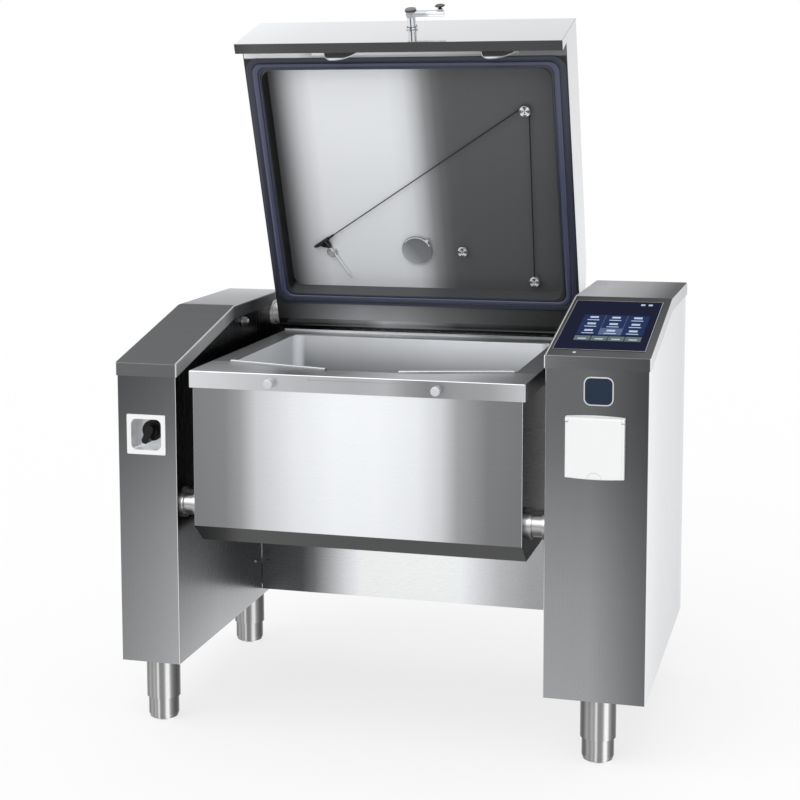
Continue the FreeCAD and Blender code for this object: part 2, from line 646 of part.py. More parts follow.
support_thick = 8.0
saddle = (front + 2.0, front + 130.0, tilt_z - 45.0, tilt_z + 60.0)
wool_low = saddle[3] + touch
insulation = box(pan_left + 14, pan_right - 14, body_front + 6, body_back - 6, wool_low, basin_top - 4)
insulation = insulation.cut(mouth_block(basin_wall + touch, body_bottom, rim_z + 100, mouth_corner))
save("pan_insulation", insulation)

for side, sign in (("left", -1), ("right", 1)):
    casing_in = pan_mid + sign * (body_half - body_sheet)
    casing_out = pan_mid + sign * body_half
    face = inner_left if side == "left" else inner_right
    far = shaft_end if side == "left" else inner_right + 46.0
    a, b = sorted((casing_in - sign * support_thick, casing_in))
    plate = box(a, b, saddle[0], saddle[1], saddle[2], saddle[3])
    c, d = sorted((casing_in, far))
    e, f = sorted((casing_out, casing_out + sign * 15.0))
    shaft = joined([plate, rod_x(trunnion_r, c, d, tilt_y, tilt_z), rod_x(tilt_ring_r, e, f, tilt_y, tilt_z)])
    g, h = sorted((casing_in - sign * 20, far + sign * 5))
    save("trunnion_" + side, shaft.cut(rod_x(trunnion_r - 7.0, g, h, tilt_y, tilt_z)))
    x = pan_mid + sign * pin_offset
    pin = rod_y(pin_r, rim_front - pin_long, rim_front, x, pin_z)
    pin = pin.makeChamfer(1.5, [e for e in pin.Edges if abs(e.CenterOfMass.y - rim_front + pin_long) < 0.01])
    save("lock_pin_" + side, pin.fuse(rod_y(6.0, rim_front, rim_front + rim_sheet, x, pin_z)))

# Lid, closed: y = hinge_y - s, z = hinge_z - n


def opened(shape):
    shape.rotate(Vec(0, hinge_y, hinge_z), Vec(-1, 0, 0), lid_open)
    return shape


def lid_box(x0, x1, s0, s1, n0, n1):
    return box(x0, x1, hinge_y - s1, hinge_y - s0, hinge_z - n1, hinge_z - n0)


def lid_point(x, s, n):
    return Vec(x, hinge_y - s, hinge_z - n)


def lid_bar(radius, a, b, n):
    p, q = lid_point(a[0], a[1], n), lid_point(b[0], b[1], n)
    return Part.makeCylinder(radius, (q - p).Length, p, q - p)


def lid_rod(radius, x, s, n0, n1):
    return rod_z(radius, hinge_z - n1, hinge_z - n0, x, hinge_y - s)


def lid_round_box(x0, x1, s0, s1, n0, n1, radius):
    return rounded_z(x0, x1, hinge_y - s1, hinge_y - s0, hinge_z - n1, hinge_z - n0, radius)


lid_left, lid_right = pan_mid - lid_half, pan_mid + lid_half
hem_back = lid_front - lid_hem


def lid_profile(inset):
    """Side outline of the lid shell: apron, front, top, rear slope and the rounding about the hinge."""
    nose = []
    for deg in (-60, -165, 90):
        turn = math.radians(deg)
        nose.append(lid_point(0, lid_nose * math.cos(turn), lid_nose * math.sin(turn)))
    points = [(0, lid_seat), (hem_back, lid_seat), (hem_back, lid_apron), (lid_front, lid_apron),
              (lid_top_front, lid_top_n), (130, -99)]
    corners = [lid_point(0, s, n) for s, n in points] + nose[:1]
    edges = [Part.makeLine(a, b) for a, b in zip(corners[:-1], corners[1:])]
    edges.append(Part.Arc(*nose).toShape())
    face = Part.Face(Part.Wire(edges))
    return face.makeOffset2D(-inset) if inset else face


shell_face = lid_profile(0)
shell_face.translate(Vec(lid_left, 0, 0))
shell = shell_face.extrude(Vec(2 * lid_half, 0, 0))
ends = []
for e in shell.Edges:
    x, y = e.CenterOfMass.x, e.CenterOfMass.y
    if min(abs(x - lid_left), abs(x - lid_right)) < 0.01 and y < hinge_y - 60 and e.Length > 200:
        ends.append(e)
shell = shell.makeFillet(1.8, [e for e in ends if e.CenterOfMass.z > hinge_z - lid_seat + 1])
hollow_face = lid_profile(lid_sheet)
hollow_face.translate(Vec(lid_left + lid_sheet, 0, 0))
hollow = hollow_face.extrude(Vec(2 * (lid_half - lid_sheet), 0, 0))
shell = shell.cut(hollow)
flange_x = (lid_left + lid_sheet, lid_right - lid_sheet)
shell = shell.cut(lid_box(flange_x[0], flange_x[1], 4, hem_back, lid_seat - lid_sheet, lid_seat + 1))
shell = shell.cut(rod_x(hinge_tube_r, lid_left - 5, lid_right + 5, hinge_y, hinge_z))
wall_hole = rod_y(handle_shaft_r + running, hinge_y - lid_front - 5, hinge_y - lid_top_front + 12,
                  handle_x, hinge_z - handle_n)
shell = shell.cut(wall_hole)
save("lid_shell", opened(shell))

tray_left, tray_right = pan_mid - tray_half, pan_mid + tray_half
flange = lid_box(flange_x[0], flange_x[1], 4, hem_back, lid_seat - lid_sheet, lid_seat)
panel_n = lid_seat - tray_deep + lid_sheet
tray_out = lid_round_box(tray_left - lid_sheet, tray_right + lid_sheet, tray_back - lid_sheet,
                         tray_front + lid_sheet, lid_seat - tray_deep, lid_seat, tray_corner + lid_sheet)
tray_in = lid_round_box(tray_left, tray_right, tray_back, tray_front, panel_n, lid_seat + 1, tray_corner)
tray = flange.fuse(tray_out).cut(tray_in)
slot_x = (handle_x - lock_travel / 2 - 22, handle_x + lock_travel / 2 + 22)
tray = tray.cut(lid_box(slot_x[0], slot_x[1], lid_front - 53, lid_front - 42, lid_seat - 5, lid_seat + 5))
save("lid_tray", opened(tray))

seal = lid_round_box(pan_mid - seal_half, pan_mid + seal_half, seal_back, seal_front, lid_seat, seal_low, 26)
seal_in = seal_half - seal_band
seal = seal.cut(lid_round_box(pan_mid - seal_in, pan_mid + seal_in, seal_back + seal_band,
                              seal_front - seal_band, lid_seat - 1, seal_low + 1, 20))
seal_face = hinge_z - seal_low
seal = seal.makeFillet(1.8, [e for e in seal.Edges if abs(e.CenterOfMass.z - seal_face) < 0.01])


def seal_ring(inset, low, high):
    """Block with the gasket's outline, moved inwards."""
    return lid_round_box(pan_mid - seal_half + inset, pan_mid + seal_half - inset, seal_back + inset,
                         seal_front - inset, low, high, 26 - inset / 4)


for inset, wide in ((9.0, 3.0), (19.0, 3.0)):
    channel = seal_ring(inset, seal_low - 2.2, seal_low + 1)
    seal = seal.cut(channel.cut(seal_ring(inset + wide, seal_low - 3, seal_low + 2)))
save("lid_gasket", opened(seal))

pad = lid_box(lid_left + 12, lid_right - 12, tray_back + 52, tray_front - 9,
              lid_top_n + 28, lid_seat - tray_deep - touch)
save("lid_insulation", opened(pad))

tube_left = inner_left - sheet - frame_plate - 32
tube_right = inner_right + sheet + frame_plate + 32
hinge_tube = rod_x(hinge_tube_r, tube_left, tube_right, hinge_y, hinge_z)
for edge, inward in ((lid_left, -1), (lid_right, 1)):
    a, b = sorted((edge + inward * 3.0, edge + inward * 9.0))
    hinge_tube = hinge_tube.fuse(rod_x(hinge_ring_r - 1.0, a, b, hinge_y, hinge_z))
hinge_tube = hinge_tube.cut(rod_x(hinge_bore, tube_left - 1, lid_right - 60, hinge_y, hinge_z))
bar_r = 12.0
hinge_tube = hinge_tube.cut(rod_x(bar_r + running, tube_left, lid_right - 20, hinge_y, hinge_z))
save("lid_hinge_tube", opened(hinge_tube))

anchor = inner_left - sheet - frame_plate
torsion = joined([
    rod_x(bar_r, inner_left - 76, lid_right - 24, hinge_y, hinge_z),
    box(inner_left - 76, inner_left - 58, hinge_y - 18, hinge_y + 18, hinge_z - 96, hinge_z + 18),
    box(inner_left - 76, anchor, hinge_y - 18, hinge_y + 18, hinge_z - 96, hinge_z - 66),
])
save("lid_torsion_bar", torsion)

# Fittings on the inside of the lid
vent_x, vent_s = pan_mid - 18.5, tray_back + 117.0
vent_r = 41.0
clip_n = (panel_n + 7.5, panel_n + 11.0)
clip = lid_rod(vent_r - 1.0, vent_x, vent_s, clip_n[0], clip_n[1])
clip = clip.cut(lid_rod(vent_r - 4.0, vent_x, vent_s, clip_n[0] - 1, clip_n[1] + 1))
sector = [(vent_x, hinge_y - vent_s)]
for deg in (20, 60, 100, 140):
    turn = math.radians(deg)
    sector.append((vent_x + 80 * math.cos(turn), hinge_y - vent_s - 80 * math.sin(turn)))
clip = clip.common(prism_z(sector, hinge_z - clip_n[1] - 1, hinge_z - clip_n[0] + 1))
vent = joined([
    lid_rod(vent_r, vent_x, vent_s, panel_n + 6, panel_n + 8),
    lid_rod(7.0, vent_x, vent_s, panel_n, panel_n + 6),
    lid_rod(3.0, vent_x + 33, vent_s + 32, panel_n, panel_n + 13),
    lid_box(vent_x + 26, vent_x + 34, vent_s + 25, vent_s + 33, panel_n + 7.5, panel_n + 11),
    clip,
])
save("vent_baffle", opened(vent))


def button(x, s, head, high, stem):
    """A turned stud: foot, stem and a head that is dished like a screw cap."""
    low, rim = high - 4.0, head - 1.2
    profile = [(0, 0), (stem + 3, 0), (stem + 3, 2), (stem, 3.2), (stem, low), (head, low)]
    profile += [(head, high - 1.2), (rim, high), (head * 0.55, high), (head * 0.45, high - 1.0), (0, high - 1.0)]
    wire = Part.makePolygon([Vec(r, 0, h) for r, h in profile + profile[:1]])
    stud = Part.Face(wire).revolve(Vec(0, 0, 0), Vec(0, 0, 1), 360)
    stud.rotate(Vec(0, 0, 0), Vec(1, 0, 0), 180)
    stud.translate(lid_point(x, s, panel_n))
    return stud


probe_n = panel_n + 8.5
guide = (pan_mid + tray_half - 79.5, tray_front - 130.0)
gland = (guide[0] - 3.0, tray_back + 32.0)
hook = (pan_mid + 107.5, tray_back + 117.0)
holder = (pan_mid - tray_half + 120.5, tray_back + 104.0)
guide_stem = 6.0
stud_high = 15.0
save("cable_guide", opened(button(guide[0], guide[1], 15.0, stud_high, guide_stem)))
save("basket_hook", opened(button(hook[0], hook[1], 14.0, stud_high, 6.0)))
probe_tip = (holder[0] + 44.0, holder[1] - 66.0)
probe_root = (holder[0] - 3.0, holder[1] + 17.0)
grip_mid = (holder[0] - 17.5, holder[1] + 35.0)
grip_half = 33.5

# The probe's cable runs straight off its grip, round the guide and down to the gland
cable_r = 1.5
bend_r = guide_stem + cable_r + 3.0


def tangent(point, side):
    """Heading from a point to the cable's bend round the guide, and where the cable meets the bend."""
    dx, ds = guide[0] - point[0], guide[1] - point[1]
    heading = math.atan2(ds, dx) + side * math.asin(bend_r / math.hypot(dx, ds))
    touch_at = heading + side * math.pi / 2
    return heading, (guide[0] + bend_r * math.cos(touch_at), guide[1] + bend_r * math.sin(touch_at))


def ahead(point, heading, distance):
    return (point[0] + distance * math.cos(heading), point[1] + distance * math.sin(heading))


lead_out, bend_start = tangent(grip_mid, 1)
lead_in, bend_end = tangent(gland, -1)
cable_start = ahead(grip_mid, lead_out, grip_half)
cable_end = ahead(gland, lead_in, 14.0)
nose = lid_bar(2.8, gland, cable_end, probe_n)
save("cable_gland", opened(button(gland[0], gland[1], 14.0, stud_high, 8.0).fuse(nose)))


holder_solid = button(holder[0], holder[1], 15.0, 5.0, 7.0)
cradle = lid_rod(9.0, holder[0], holder[1], panel_n + 3, probe_n + 5)
above_root = (2 * probe_root[0] - probe_tip[0], 2 * probe_root[1] - probe_tip[1])
channel = lid_bar(3.0 + touch, above_root, probe_tip, probe_n)
collar = lid_bar(6.5 + touch, grip_mid, (probe_root[0] + 2.3, probe_root[1] - 4.0), probe_n)
save("probe_holder", opened(holder_solid.fuse(cradle).cut(channel).cut(collar)))

spike = lid_bar(3.0, probe_root, probe_tip, probe_n)
tip_dir = lid_point(probe_tip[0], probe_tip[1], probe_n) - lid_point(probe_root[0], probe_root[1], probe_n)
tip_dir.normalize()
cone = Part.makeCone(3.0, 0.4, 12.0, lid_point(probe_tip[0], probe_tip[1], probe_n), tip_dir)
neck = lid_bar(6.5, grip_mid, (probe_root[0] + 2, probe_root[1] - 3.5), probe_n)
tee = lid_bar(5.0, ahead(grip_mid, lead_out, -grip_half), ahead(grip_mid, lead_out, 16.0), probe_n)
sleeve = lid_bar(3.2, ahead(grip_mid, lead_out, 15.0), cable_start, probe_n)
web = [ahead(grip_mid, lead_out, -20.0), ahead(grip_mid, lead_out, 14.0)]
web += [(probe_root[0] + 5.0, probe_root[1] + 4.0), (probe_root[0] - 5.0, probe_root[1] - 4.0)]
web = prism_z([(x, hinge_y - s) for x, s in web], hinge_z - probe_n - 3.0, hinge_z - probe_n + 3.0)
save("core_probe", opened(joined([spike, cone, neck, tee, sleeve, web])))

bend_mid = ahead(guide, (lead_out + lead_in) / 2, bend_r)
along_cable = [lid_point(x, s, probe_n) for x, s in (cable_start, bend_start, bend_mid, bend_end, cable_end)]
path = Part.Wire([
    Part.makeLine(along_cable[0], along_cable[1]),
    Part.Arc(along_cable[1], along_cable[2], along_cable[3]).toShape(),
    Part.makeLine(along_cable[3], along_cable[4]),
])
ring = Part.Wire(Part.makeCircle(cable_r, along_cable[0], along_cable[1] - along_cable[0]))
cable = path.makePipeShell([ring], True, True)
print("cable", path.Length, cable.Volume, path.Length * math.pi * cable_r ** 2)
save("probe_cable", opened(cable))

# Lock bar with two claws, and the handle that drives it through a crank
shift = lock_travel / 2
claw_air = 2.0            # between a claw and its stud, on each side
claw_wide = 84.0
claw_n = (hinge_z - pin_z + pin_r + claw_air, hinge_z - pin_z + pin_r + claw_air + 7.0)
bar_end = pan_mid + pin_offset + pin_r + claw_air + claw_wide
pieces = [lid_box(pan_mid - pin_offset - 30, bar_end, bar_s[0], bar_s[1], bar_n[0], bar_n[1])]


def level_arc(low, end):
    """Middle of an arc that leaves its lowest point level and runs to its end."""
    dx, ds = end[0] - low[0], end[1] - low[1]
    radius = (dx * dx + ds * ds) / (2 * ds)
    half = math.asin(dx / radius) / 2
    return (low[0] + radius * math.sin(half), low[1] + radius * (1 - math.cos(half)))


def claw(near):
    """A plate with a rounded nose and a long curve that runs out to the far end, on a leg."""
    far = near + claw_wide
    low, high = bar_s
    side, lowest, run_out = (near, low + 9), (near + 16, low), (far, high - 4)
    outline = [(near, high), side, level_arc(lowest, side), lowest]
    outline += [level_arc(lowest, run_out), run_out, (far, high)]
    corner = [lid_point(x, s, claw_n[1]) for x, s in outline]
    wire = Part.Wire([
        Part.makeLine(corner[0], corner[1]), Part.Arc(corner[1], corner[2], corner[3]).toShape(),
        Part.Arc(corner[3], corner[4], corner[5]).toShape(), Part.makeLine(corner[5], corner[6]),
        Part.makeLine(corner[6], corner[0]),
    ])
    plate = Part.Face(wire).extrude(Vec(0, 0, claw_n[1] - claw_n[0]))
    face_z = hinge_z - claw_n[1]
    on_face = [e for e in plate.Edges if abs(e.CenterOfMass.z - face_z) < 0.01]
    plate = plate.makeChamfer(4.0, [e for e in on_face if e.Curve.TypeId == "Part::GeomCircle"])
    leg = lid_box(far - 40, far - 26, low + 9, high, bar_n[0], claw_n[1] - 1)
    return plate.fuse(leg)


for sign in (-1, 1):
    pieces.append(claw(pan_mid + sign * pin_offset + pin_r + claw_air))
tab_x = handle_x + shift
tab = lid_box(tab_x - 20, tab_x + 20, bar_s[0], lid_front - 44, handle_n + 12, bar_n[1])
pin_n = handle_n + math.sqrt(crank_r ** 2 - shift ** 2)
crank_pin = 5.0
pieces.append(tab)
lock_bar = joined(pieces)
slot = (tab_x - crank_pin - 1.3, tab_x + crank_pin + 1.3)
lock_bar = lock_bar.cut(lid_box(slot[0], slot[1], lid_front - 55, lid_front - 40, pin_n - 7.5,
                                handle_n + crank_r + 7.5))
save("lock_bar", opened(lock_bar))


def handle_rod(radius, x, n, s0, s1):
    return rod_y(radius, hinge_y - s1, hinge_y - s0, x, hinge_z - n)


handle_len = 97.0
handle_disc = 15.0
arm_front = lid_front + 35.0     # front face of the handle's grip
hub_s = (lid_front - 42.0, lid_front - 33.0)
lean = (lid_front - lid_top_front) / (lid_apron - lid_top_n)
wall_s = lid_front - lean * (lid_apron - handle_n - handle_disc)
grip_left, grip_right = handle_x - 11, handle_x - 11 + handle_len
grip = lid_box(grip_left, grip_right, arm_front - 14, arm_front, handle_n - 9, handle_n + 9)
grip = grip.makeFillet(5.0, along(grip, Vec(1, 0, 0)))
handle = joined([
    handle_rod(handle_shaft_r, handle_x, handle_n, hub_s[0] - 1, arm_front - 10),
    handle_rod(handle_disc, handle_x, handle_n, wall_s + 1.2, wall_s + 5),
    handle_rod(11.0, handle_x, handle_n, wall_s + 5, arm_front),
    grip,
    handle_rod(handle_disc, handle_x, handle_n, arm_front, arm_front + 3),
    handle_rod(handle_disc - 1.5, handle_x, handle_n, arm_front + 3, arm_front + 6),
    handle_rod(crank_pin, tab_x, pin_n, lid_front - 52, hub_s[1]),
    handle_rod(10.0, tab_x, pin_n, hub_s[0], hub_s[1]),
    handle_rod(14.0, handle_x, handle_n, hub_s[0], hub_s[1]),
])
arm = lid_box(handle_x - 8, handle_x + 8, hub_s[0], hub_s[1], handle_n, handle_n + crank_r)
arm.rotate(Vec(handle_x, 0, hinge_z - handle_n), Vec(0, 1, 0), -math.degrees(math.asin(shift / crank_r)))
handle = handle.fuse(arm)
save("lid_handle", opened(handle))
knob_at = grip_right - 9
knob_line = [(0, 0), (4, 0), (4, 1.5), (7.5, 2.5), (3.2, 9), (12.5, 12), (12.5, 13.5), (11, 14.5), (0, 14.5)]
wire = Part.makePolygon([Vec(r, 0, h) for r, h in knob_line + knob_line[:1]])
knob = Part.Face(wire).revolve(Vec(0, 0, 0), Vec(0, 0, 1), 360)
knob.rotate(Vec(0, 0, 0), Vec(1, 0, 0), 90)
knob.translate(Vec(knob_at, hinge_y - arm_front, hinge_z - handle_n))
save("handle_button", opened(knob))
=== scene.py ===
import json
import math

import bmesh
import bpy
from mathutils import Matrix, Vector


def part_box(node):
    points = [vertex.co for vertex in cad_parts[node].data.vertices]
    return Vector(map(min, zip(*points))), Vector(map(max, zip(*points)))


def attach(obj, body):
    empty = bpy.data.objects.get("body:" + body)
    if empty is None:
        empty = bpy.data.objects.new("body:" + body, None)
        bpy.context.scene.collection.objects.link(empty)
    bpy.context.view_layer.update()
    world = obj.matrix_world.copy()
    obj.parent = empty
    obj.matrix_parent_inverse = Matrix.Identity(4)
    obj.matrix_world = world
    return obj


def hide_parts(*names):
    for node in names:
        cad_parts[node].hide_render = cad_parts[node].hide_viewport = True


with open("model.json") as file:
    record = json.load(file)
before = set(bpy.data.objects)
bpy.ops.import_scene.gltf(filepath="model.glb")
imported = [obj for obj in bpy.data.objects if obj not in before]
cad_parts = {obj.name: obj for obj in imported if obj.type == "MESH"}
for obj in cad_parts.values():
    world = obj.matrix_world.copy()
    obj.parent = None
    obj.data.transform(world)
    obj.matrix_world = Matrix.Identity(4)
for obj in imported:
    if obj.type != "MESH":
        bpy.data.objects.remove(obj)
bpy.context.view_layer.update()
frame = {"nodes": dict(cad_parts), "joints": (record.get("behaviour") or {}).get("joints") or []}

nodes = frame["nodes"]
joints = {joint["name"]: joint for joint in frame["joints"]}
leftCasing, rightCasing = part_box("left_casing"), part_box("right_casing")
panBox, rimBox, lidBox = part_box("pan_casing"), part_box("pan_rim"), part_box("lid_shell")
panMid = (panBox[0].x + panBox[1].x) / 2

# Lid coordinates: x to the right, s forward from the hinge axis, n down from it, as if the lid were closed
hingeY, hingeZ = joints["lid_hinge"]["pos_m"][1:]
lidOpen = math.radians(-joints["lid_hinge"]["range_deg"][0])
lidAlong = Vector((0.0, -math.cos(lidOpen), math.sin(lidOpen)))
lidDown = Vector((0.0, -math.sin(lidOpen), -math.cos(lidOpen)))
trayPanel = -0.010       # the lid's inner panel


def lidPoint(x, s, n):
    return Vector((x, hingeY, hingeZ)) + lidAlong * s + lidDown * n


# Camera

cameraValues = {
    "place": (1.0894, -4.3833, 1.5715),
    "turnLeft": 16.395,      # degrees
    "lookDown": 6.635,
    "roll": -0.298,
    "focalPixels": 1797.3,
    "imageWidth": 800,
    "shift": (0.08, -0.13),
}


def makeCamera(v):
    data = bpy.data.cameras.new("camera")
    data.sensor_width = 36.0
    data.lens = v["focalPixels"] / v["imageWidth"] * data.sensor_width
    data.shift_x, data.shift_y = v["shift"]
    data.clip_end = 60.0
    camera = bpy.data.objects.new("camera", data)
    bpy.context.scene.collection.objects.link(camera)
    turn = Matrix.Rotation(math.radians(v["turnLeft"]), 4, "Z")
    tip = Matrix.Rotation(math.radians(90.0 - v["lookDown"]), 4, "X")
    roll = Matrix.Rotation(math.radians(v["roll"]), 4, "Z")
    camera.matrix_world = Matrix.Translation(v["place"]) @ turn @ tip @ roll
    bpy.context.scene.camera = camera


makeCamera(cameraValues)
print("camera ready")


# Studio

studioValues = {
    "fillStrength": 0.78,
    "floorReach": 14.0,
    "floorTone": 0.97,
    "floorWhite": 0.75,      # the shadow keeps the rest
    "sun": {"turn": (38.0, -22.0, 0.0), "strength": 1.15, "spread": 70.0, "shine": 0.25},
}


def addNode(tree, kind, settings=None, inputs=None):
    node = tree.nodes.new(kind)
    for key, value in (settings or {}).items():
        setattr(node, key, value)
    for key, value in (inputs or {}).items():
        node.inputs[key].default_value = value
    return node


# 1 for camera, glossy and transmission rays
def seenRays(tree):
    path = addNode(tree, "ShaderNodeLightPath")
    seen = addNode(tree, "ShaderNodeMath", {"operation": "MAXIMUM"})
    tree.links.new(path.outputs["Is Camera Ray"], seen.inputs[0])
    tree.links.new(path.outputs["Is Glossy Ray"], seen.inputs[1])
    through = addNode(tree, "ShaderNodeMath", {"operation": "MAXIMUM"})
    tree.links.new(seen.outputs[0], through.inputs[0])
    tree.links.new(path.outputs["Is Transmission Ray"], through.inputs[1])
    return through.outputs[0]


def makeStudio(v):
    world = bpy.data.worlds.new("studio")
    world.use_nodes = True
    tree = world.node_tree
    tree.nodes.clear()
    soft = addNode(tree, "ShaderNodeBackground", None, {"Color": (1, 1, 1, 1), "Strength": v["fillStrength"]})
    white = addNode(tree, "ShaderNodeBackground", None, {"Color": (1, 1, 1, 1), "Strength": 1.0})
    mix = addNode(tree, "ShaderNodeMixShader")
    output = addNode(tree, "ShaderNodeOutputWorld")
    tree.links.new(seenRays(tree), mix.inputs[0])
    tree.links.new(soft.outputs[0], mix.inputs[1])
    tree.links.new(white.outputs[0], mix.inputs[2])
    tree.links.new(mix.outputs[0], output.inputs["Surface"])
    bpy.context.scene.world = world
    data = bpy.data.lights.new("sun", "SUN")
    data.energy = v["sun"]["strength"]
    data.angle = math.radians(v["sun"]["spread"])
    data.specular_factor = v["sun"]["shine"]
    light = bpy.data.objects.new("sun", data)
    light.rotation_euler = [math.radians(angle) for angle in v["sun"]["turn"]]
    bpy.context.scene.collection.objects.link(light)
    bpy.context.scene.view_settings.view_transform = "Standard"


makeStudio(studioValues)


# Finishes

def linear(level):
    return level / 12.92 if level <= 0.04045 else ((level + 0.055) / 1.055) ** 2.4


def grey(level, tint=0.012):
    value = linear(level)
    return (value * (1 - tint), value * (1 + 0.6 * tint), value * (1 + 3 * tint), 1.0)


def colour(red, green, blue):
    return (linear(red), linear(green), linear(blue), 1.0)


def newFinish(name, metallic=0.0, roughness=0.5, base=None):
    material = bpy.data.materials.new(name)
    material.use_nodes = True
    tree = material.node_tree
    shader = tree.nodes["Principled BSDF"]
    shader.inputs["Metallic"].default_value = metallic
    shader.inputs["Roughness"].default_value = roughness
    if base:
        shader.inputs["Base Color"].default_value = base
    return material, tree, shader


def spanOf(tree, value, low, high, first=0.0, last=1.0):
    node = addNode(tree, "ShaderNodeMapRange", None,
                   {"From Min": low, "From Max": high, "To Min": first, "To Max": last})
    tree.links.new(value, node.inputs["Value"])
    return node.outputs[0]


def product(tree, first, second):
    node = addNode(tree, "ShaderNodeMath", {"operation": "MULTIPLY"})
    tree.links.new(first, node.inputs[0])
    tree.links.new(second, node.inputs[1])
    return node.outputs[0]


# One coordinate of a vector: an axis letter, or a direction to measure along
def measure(tree, vector, axis):
    if isinstance(axis, str):
        node = addNode(tree, "ShaderNodeSeparateXYZ")
        tree.links.new(vector, node.inputs[0])
        return node.outputs["XYZ".index(axis)]
    node = addNode(tree, "ShaderNodeVectorMath", {"operation": "DOT_PRODUCT"})
    tree.links.new(vector, node.inputs[0])
    node.inputs[1].default_value = axis
    return node.outputs["Value"]


def ramp(tree, value, stops, low, high):
    node = addNode(tree, "ShaderNodeValToRGB")
    marks = node.color_ramp.elements
    while len(marks) < len(stops):
        marks.new(0.5)
    for mark, (place, shade) in zip(marks, stops):
        mark.position = place
        mark.color = grey(shade, 0.0) if isinstance(shade, float) else shade
    tree.links.new(spanOf(tree, value, low, high), node.inputs[0])
    return node.outputs[0]


def mixColour(tree, factor, first, second, blend="MIX"):
    mix = addNode(tree, "ShaderNodeMix", {"data_type": "RGBA", "blend_type": blend})
    for socket, value in ((mix.inputs[0], factor), (mix.inputs[6], first), (mix.inputs[7], second)):
        if isinstance(value, bpy.types.NodeSocket):
            tree.links.new(value, socket)
        else:
            socket.default_value = value
    return mix.outputs[2]


def streaks(tree, coordinate, grain):
    stretch = addNode(tree, "ShaderNodeMapping", None, {"Scale": grain})
    tree.links.new(coordinate, stretch.inputs["Vector"])
    noise = addNode(tree, "ShaderNodeTexNoise", None, {"Scale": 1.0, "Detail": 3.0, "Roughness": 0.6})
    tree.links.new(stretch.outputs[0], noise.inputs["Vector"])
    return noise.outputs[0]


def mixValue(tree, factor, first, second):
    mix = addNode(tree, "ShaderNodeMix", {"data_type": "FLOAT"})
    tree.links.new(factor, mix.inputs[0])
    if isinstance(first, bpy.types.NodeSocket):
        tree.links.new(first, mix.inputs[2])
    else:
        mix.inputs[2].default_value = first
    mix.inputs[3].default_value = second
    return mix.outputs[0]


def grained(tree, shader, place, tone, grain, contrast, roughness, bumpDepth=0.0001):
    fine = streaks(tree, place.outputs["Object"], grain)
    spread = spanOf(tree, fine, 0.25, 0.75, 1.0 - contrast, 1.0 + contrast)
    brushed = addNode(tree, "ShaderNodeVectorMath", {"operation": "SCALE"})
    tree.links.new(spread, brushed.inputs["Scale"])
    if isinstance(tone, bpy.types.NodeSocket):
        tree.links.new(tone, brushed.inputs[0])
    else:
        brushed.inputs[0].default_value = tone[:3]
    tree.links.new(brushed.outputs[0], shader.inputs["Base Color"])
    matt = spanOf(tree, fine, 0.25, 0.75, max(0.02, roughness - 0.02), roughness + 0.03)
    tree.links.new(matt, shader.inputs["Roughness"])
    bump = addNode(tree, "ShaderNodeBump", None, {"Strength": 0.03, "Distance": bumpDepth})
    tree.links.new(fine, bump.inputs["Height"])
    tree.links.new(bump.outputs[0], shader.inputs["Normal"])


# Brushed sheet: each face has a direction (None takes all faces), limits along axes, and layers of tone that multiply;
# these tones are painted light, shade and reflection for each face
def steelSheet(name, base, faces, grain, roughness=0.26, edge=None, contrast=0.009, metallic=1.0, gloss=0.5):
    material, tree, shader = newFinish(name, metallic=metallic, roughness=roughness)
    shader.inputs["Specular IOR Level"].default_value = gloss
    place = addNode(tree, "ShaderNodeTexCoord")
    spot, normal = place.outputs["Object"], place.outputs["Normal"]
    tone, metal = grey(base, 0.0), metallic
    for face in faces:
        shade = None
        for axis, low, high, stops in face["layers"]:
            across = measure(tree, normal, axis[1]) if axis[0] == "normal" else measure(tree, spot, axis)
            layer = ramp(tree, across, stops, low, high)
            shade = layer if shade is None else mixColour(tree, 1.0, shade, layer, "MULTIPLY")
        low, high = face.get("soft", (0.55, 0.85))
        if face["direction"]:
            amount = spanOf(tree, measure(tree, normal, face["direction"]), low, high)
        else:
            amount = spanOf(tree, measure(tree, spot, "Z"), -2.0, -1.0)
        for axis, low, high in face.get("within", ()):
            amount = product(tree, amount, spanOf(tree, measure(tree, spot, axis), low, high))
        tone = mixColour(tree, amount, tone, shade)
        if "metal" in face:
            metal = mixValue(tree, amount, metal, face["metal"])
    # Painted highlight along rounded folds: faces turned between X and Y, not level ones, take the edge tone
    if edge:
        size = addNode(tree, "ShaderNodeVectorMath", {"operation": "ABSOLUTE"})
        tree.links.new(normal, size.inputs[0])
        most = addNode(tree, "ShaderNodeMath", {"operation": "MAXIMUM"})
        tree.links.new(measure(tree, size.outputs[0], "X"), most.inputs[0])
        tree.links.new(measure(tree, size.outputs[0], "Y"), most.inputs[1])
        fold = spanOf(tree, most.outputs[0], 0.97, 0.80)
        level = addNode(tree, "ShaderNodeMath", {"operation": "LESS_THAN"}, {1: 0.45})
        tree.links.new(measure(tree, size.outputs[0], "Z"), level.inputs[0])
        tone = mixColour(tree, product(tree, fold, level.outputs[0]), tone, grey(edge, 0.0))
    tone = mixColour(tree, 1.0, tone, grey(1.0), "MULTIPLY")
    if isinstance(metal, bpy.types.NodeSocket):
        tree.links.new(metal, shader.inputs["Metallic"])
    grained(tree, shader, place, tone, grain, contrast, roughness)
    return material


# Polished round stock, with painted reflection bands, light and dark, lying along it
def reflectionBandSteel(name, across, stops, roughness=0.16, grain=(500.0, 500.0, 500.0), contrast=0.02, metallic=1.0):
    material, tree, shader = newFinish(name, metallic=metallic, roughness=roughness)
    place = addNode(tree, "ShaderNodeTexCoord")
    tone = ramp(tree, measure(tree, place.outputs["Normal"], across), stops, -1.0, 1.0)
    grained(tree, shader, place, tone, grain, contrast, roughness)
    return material
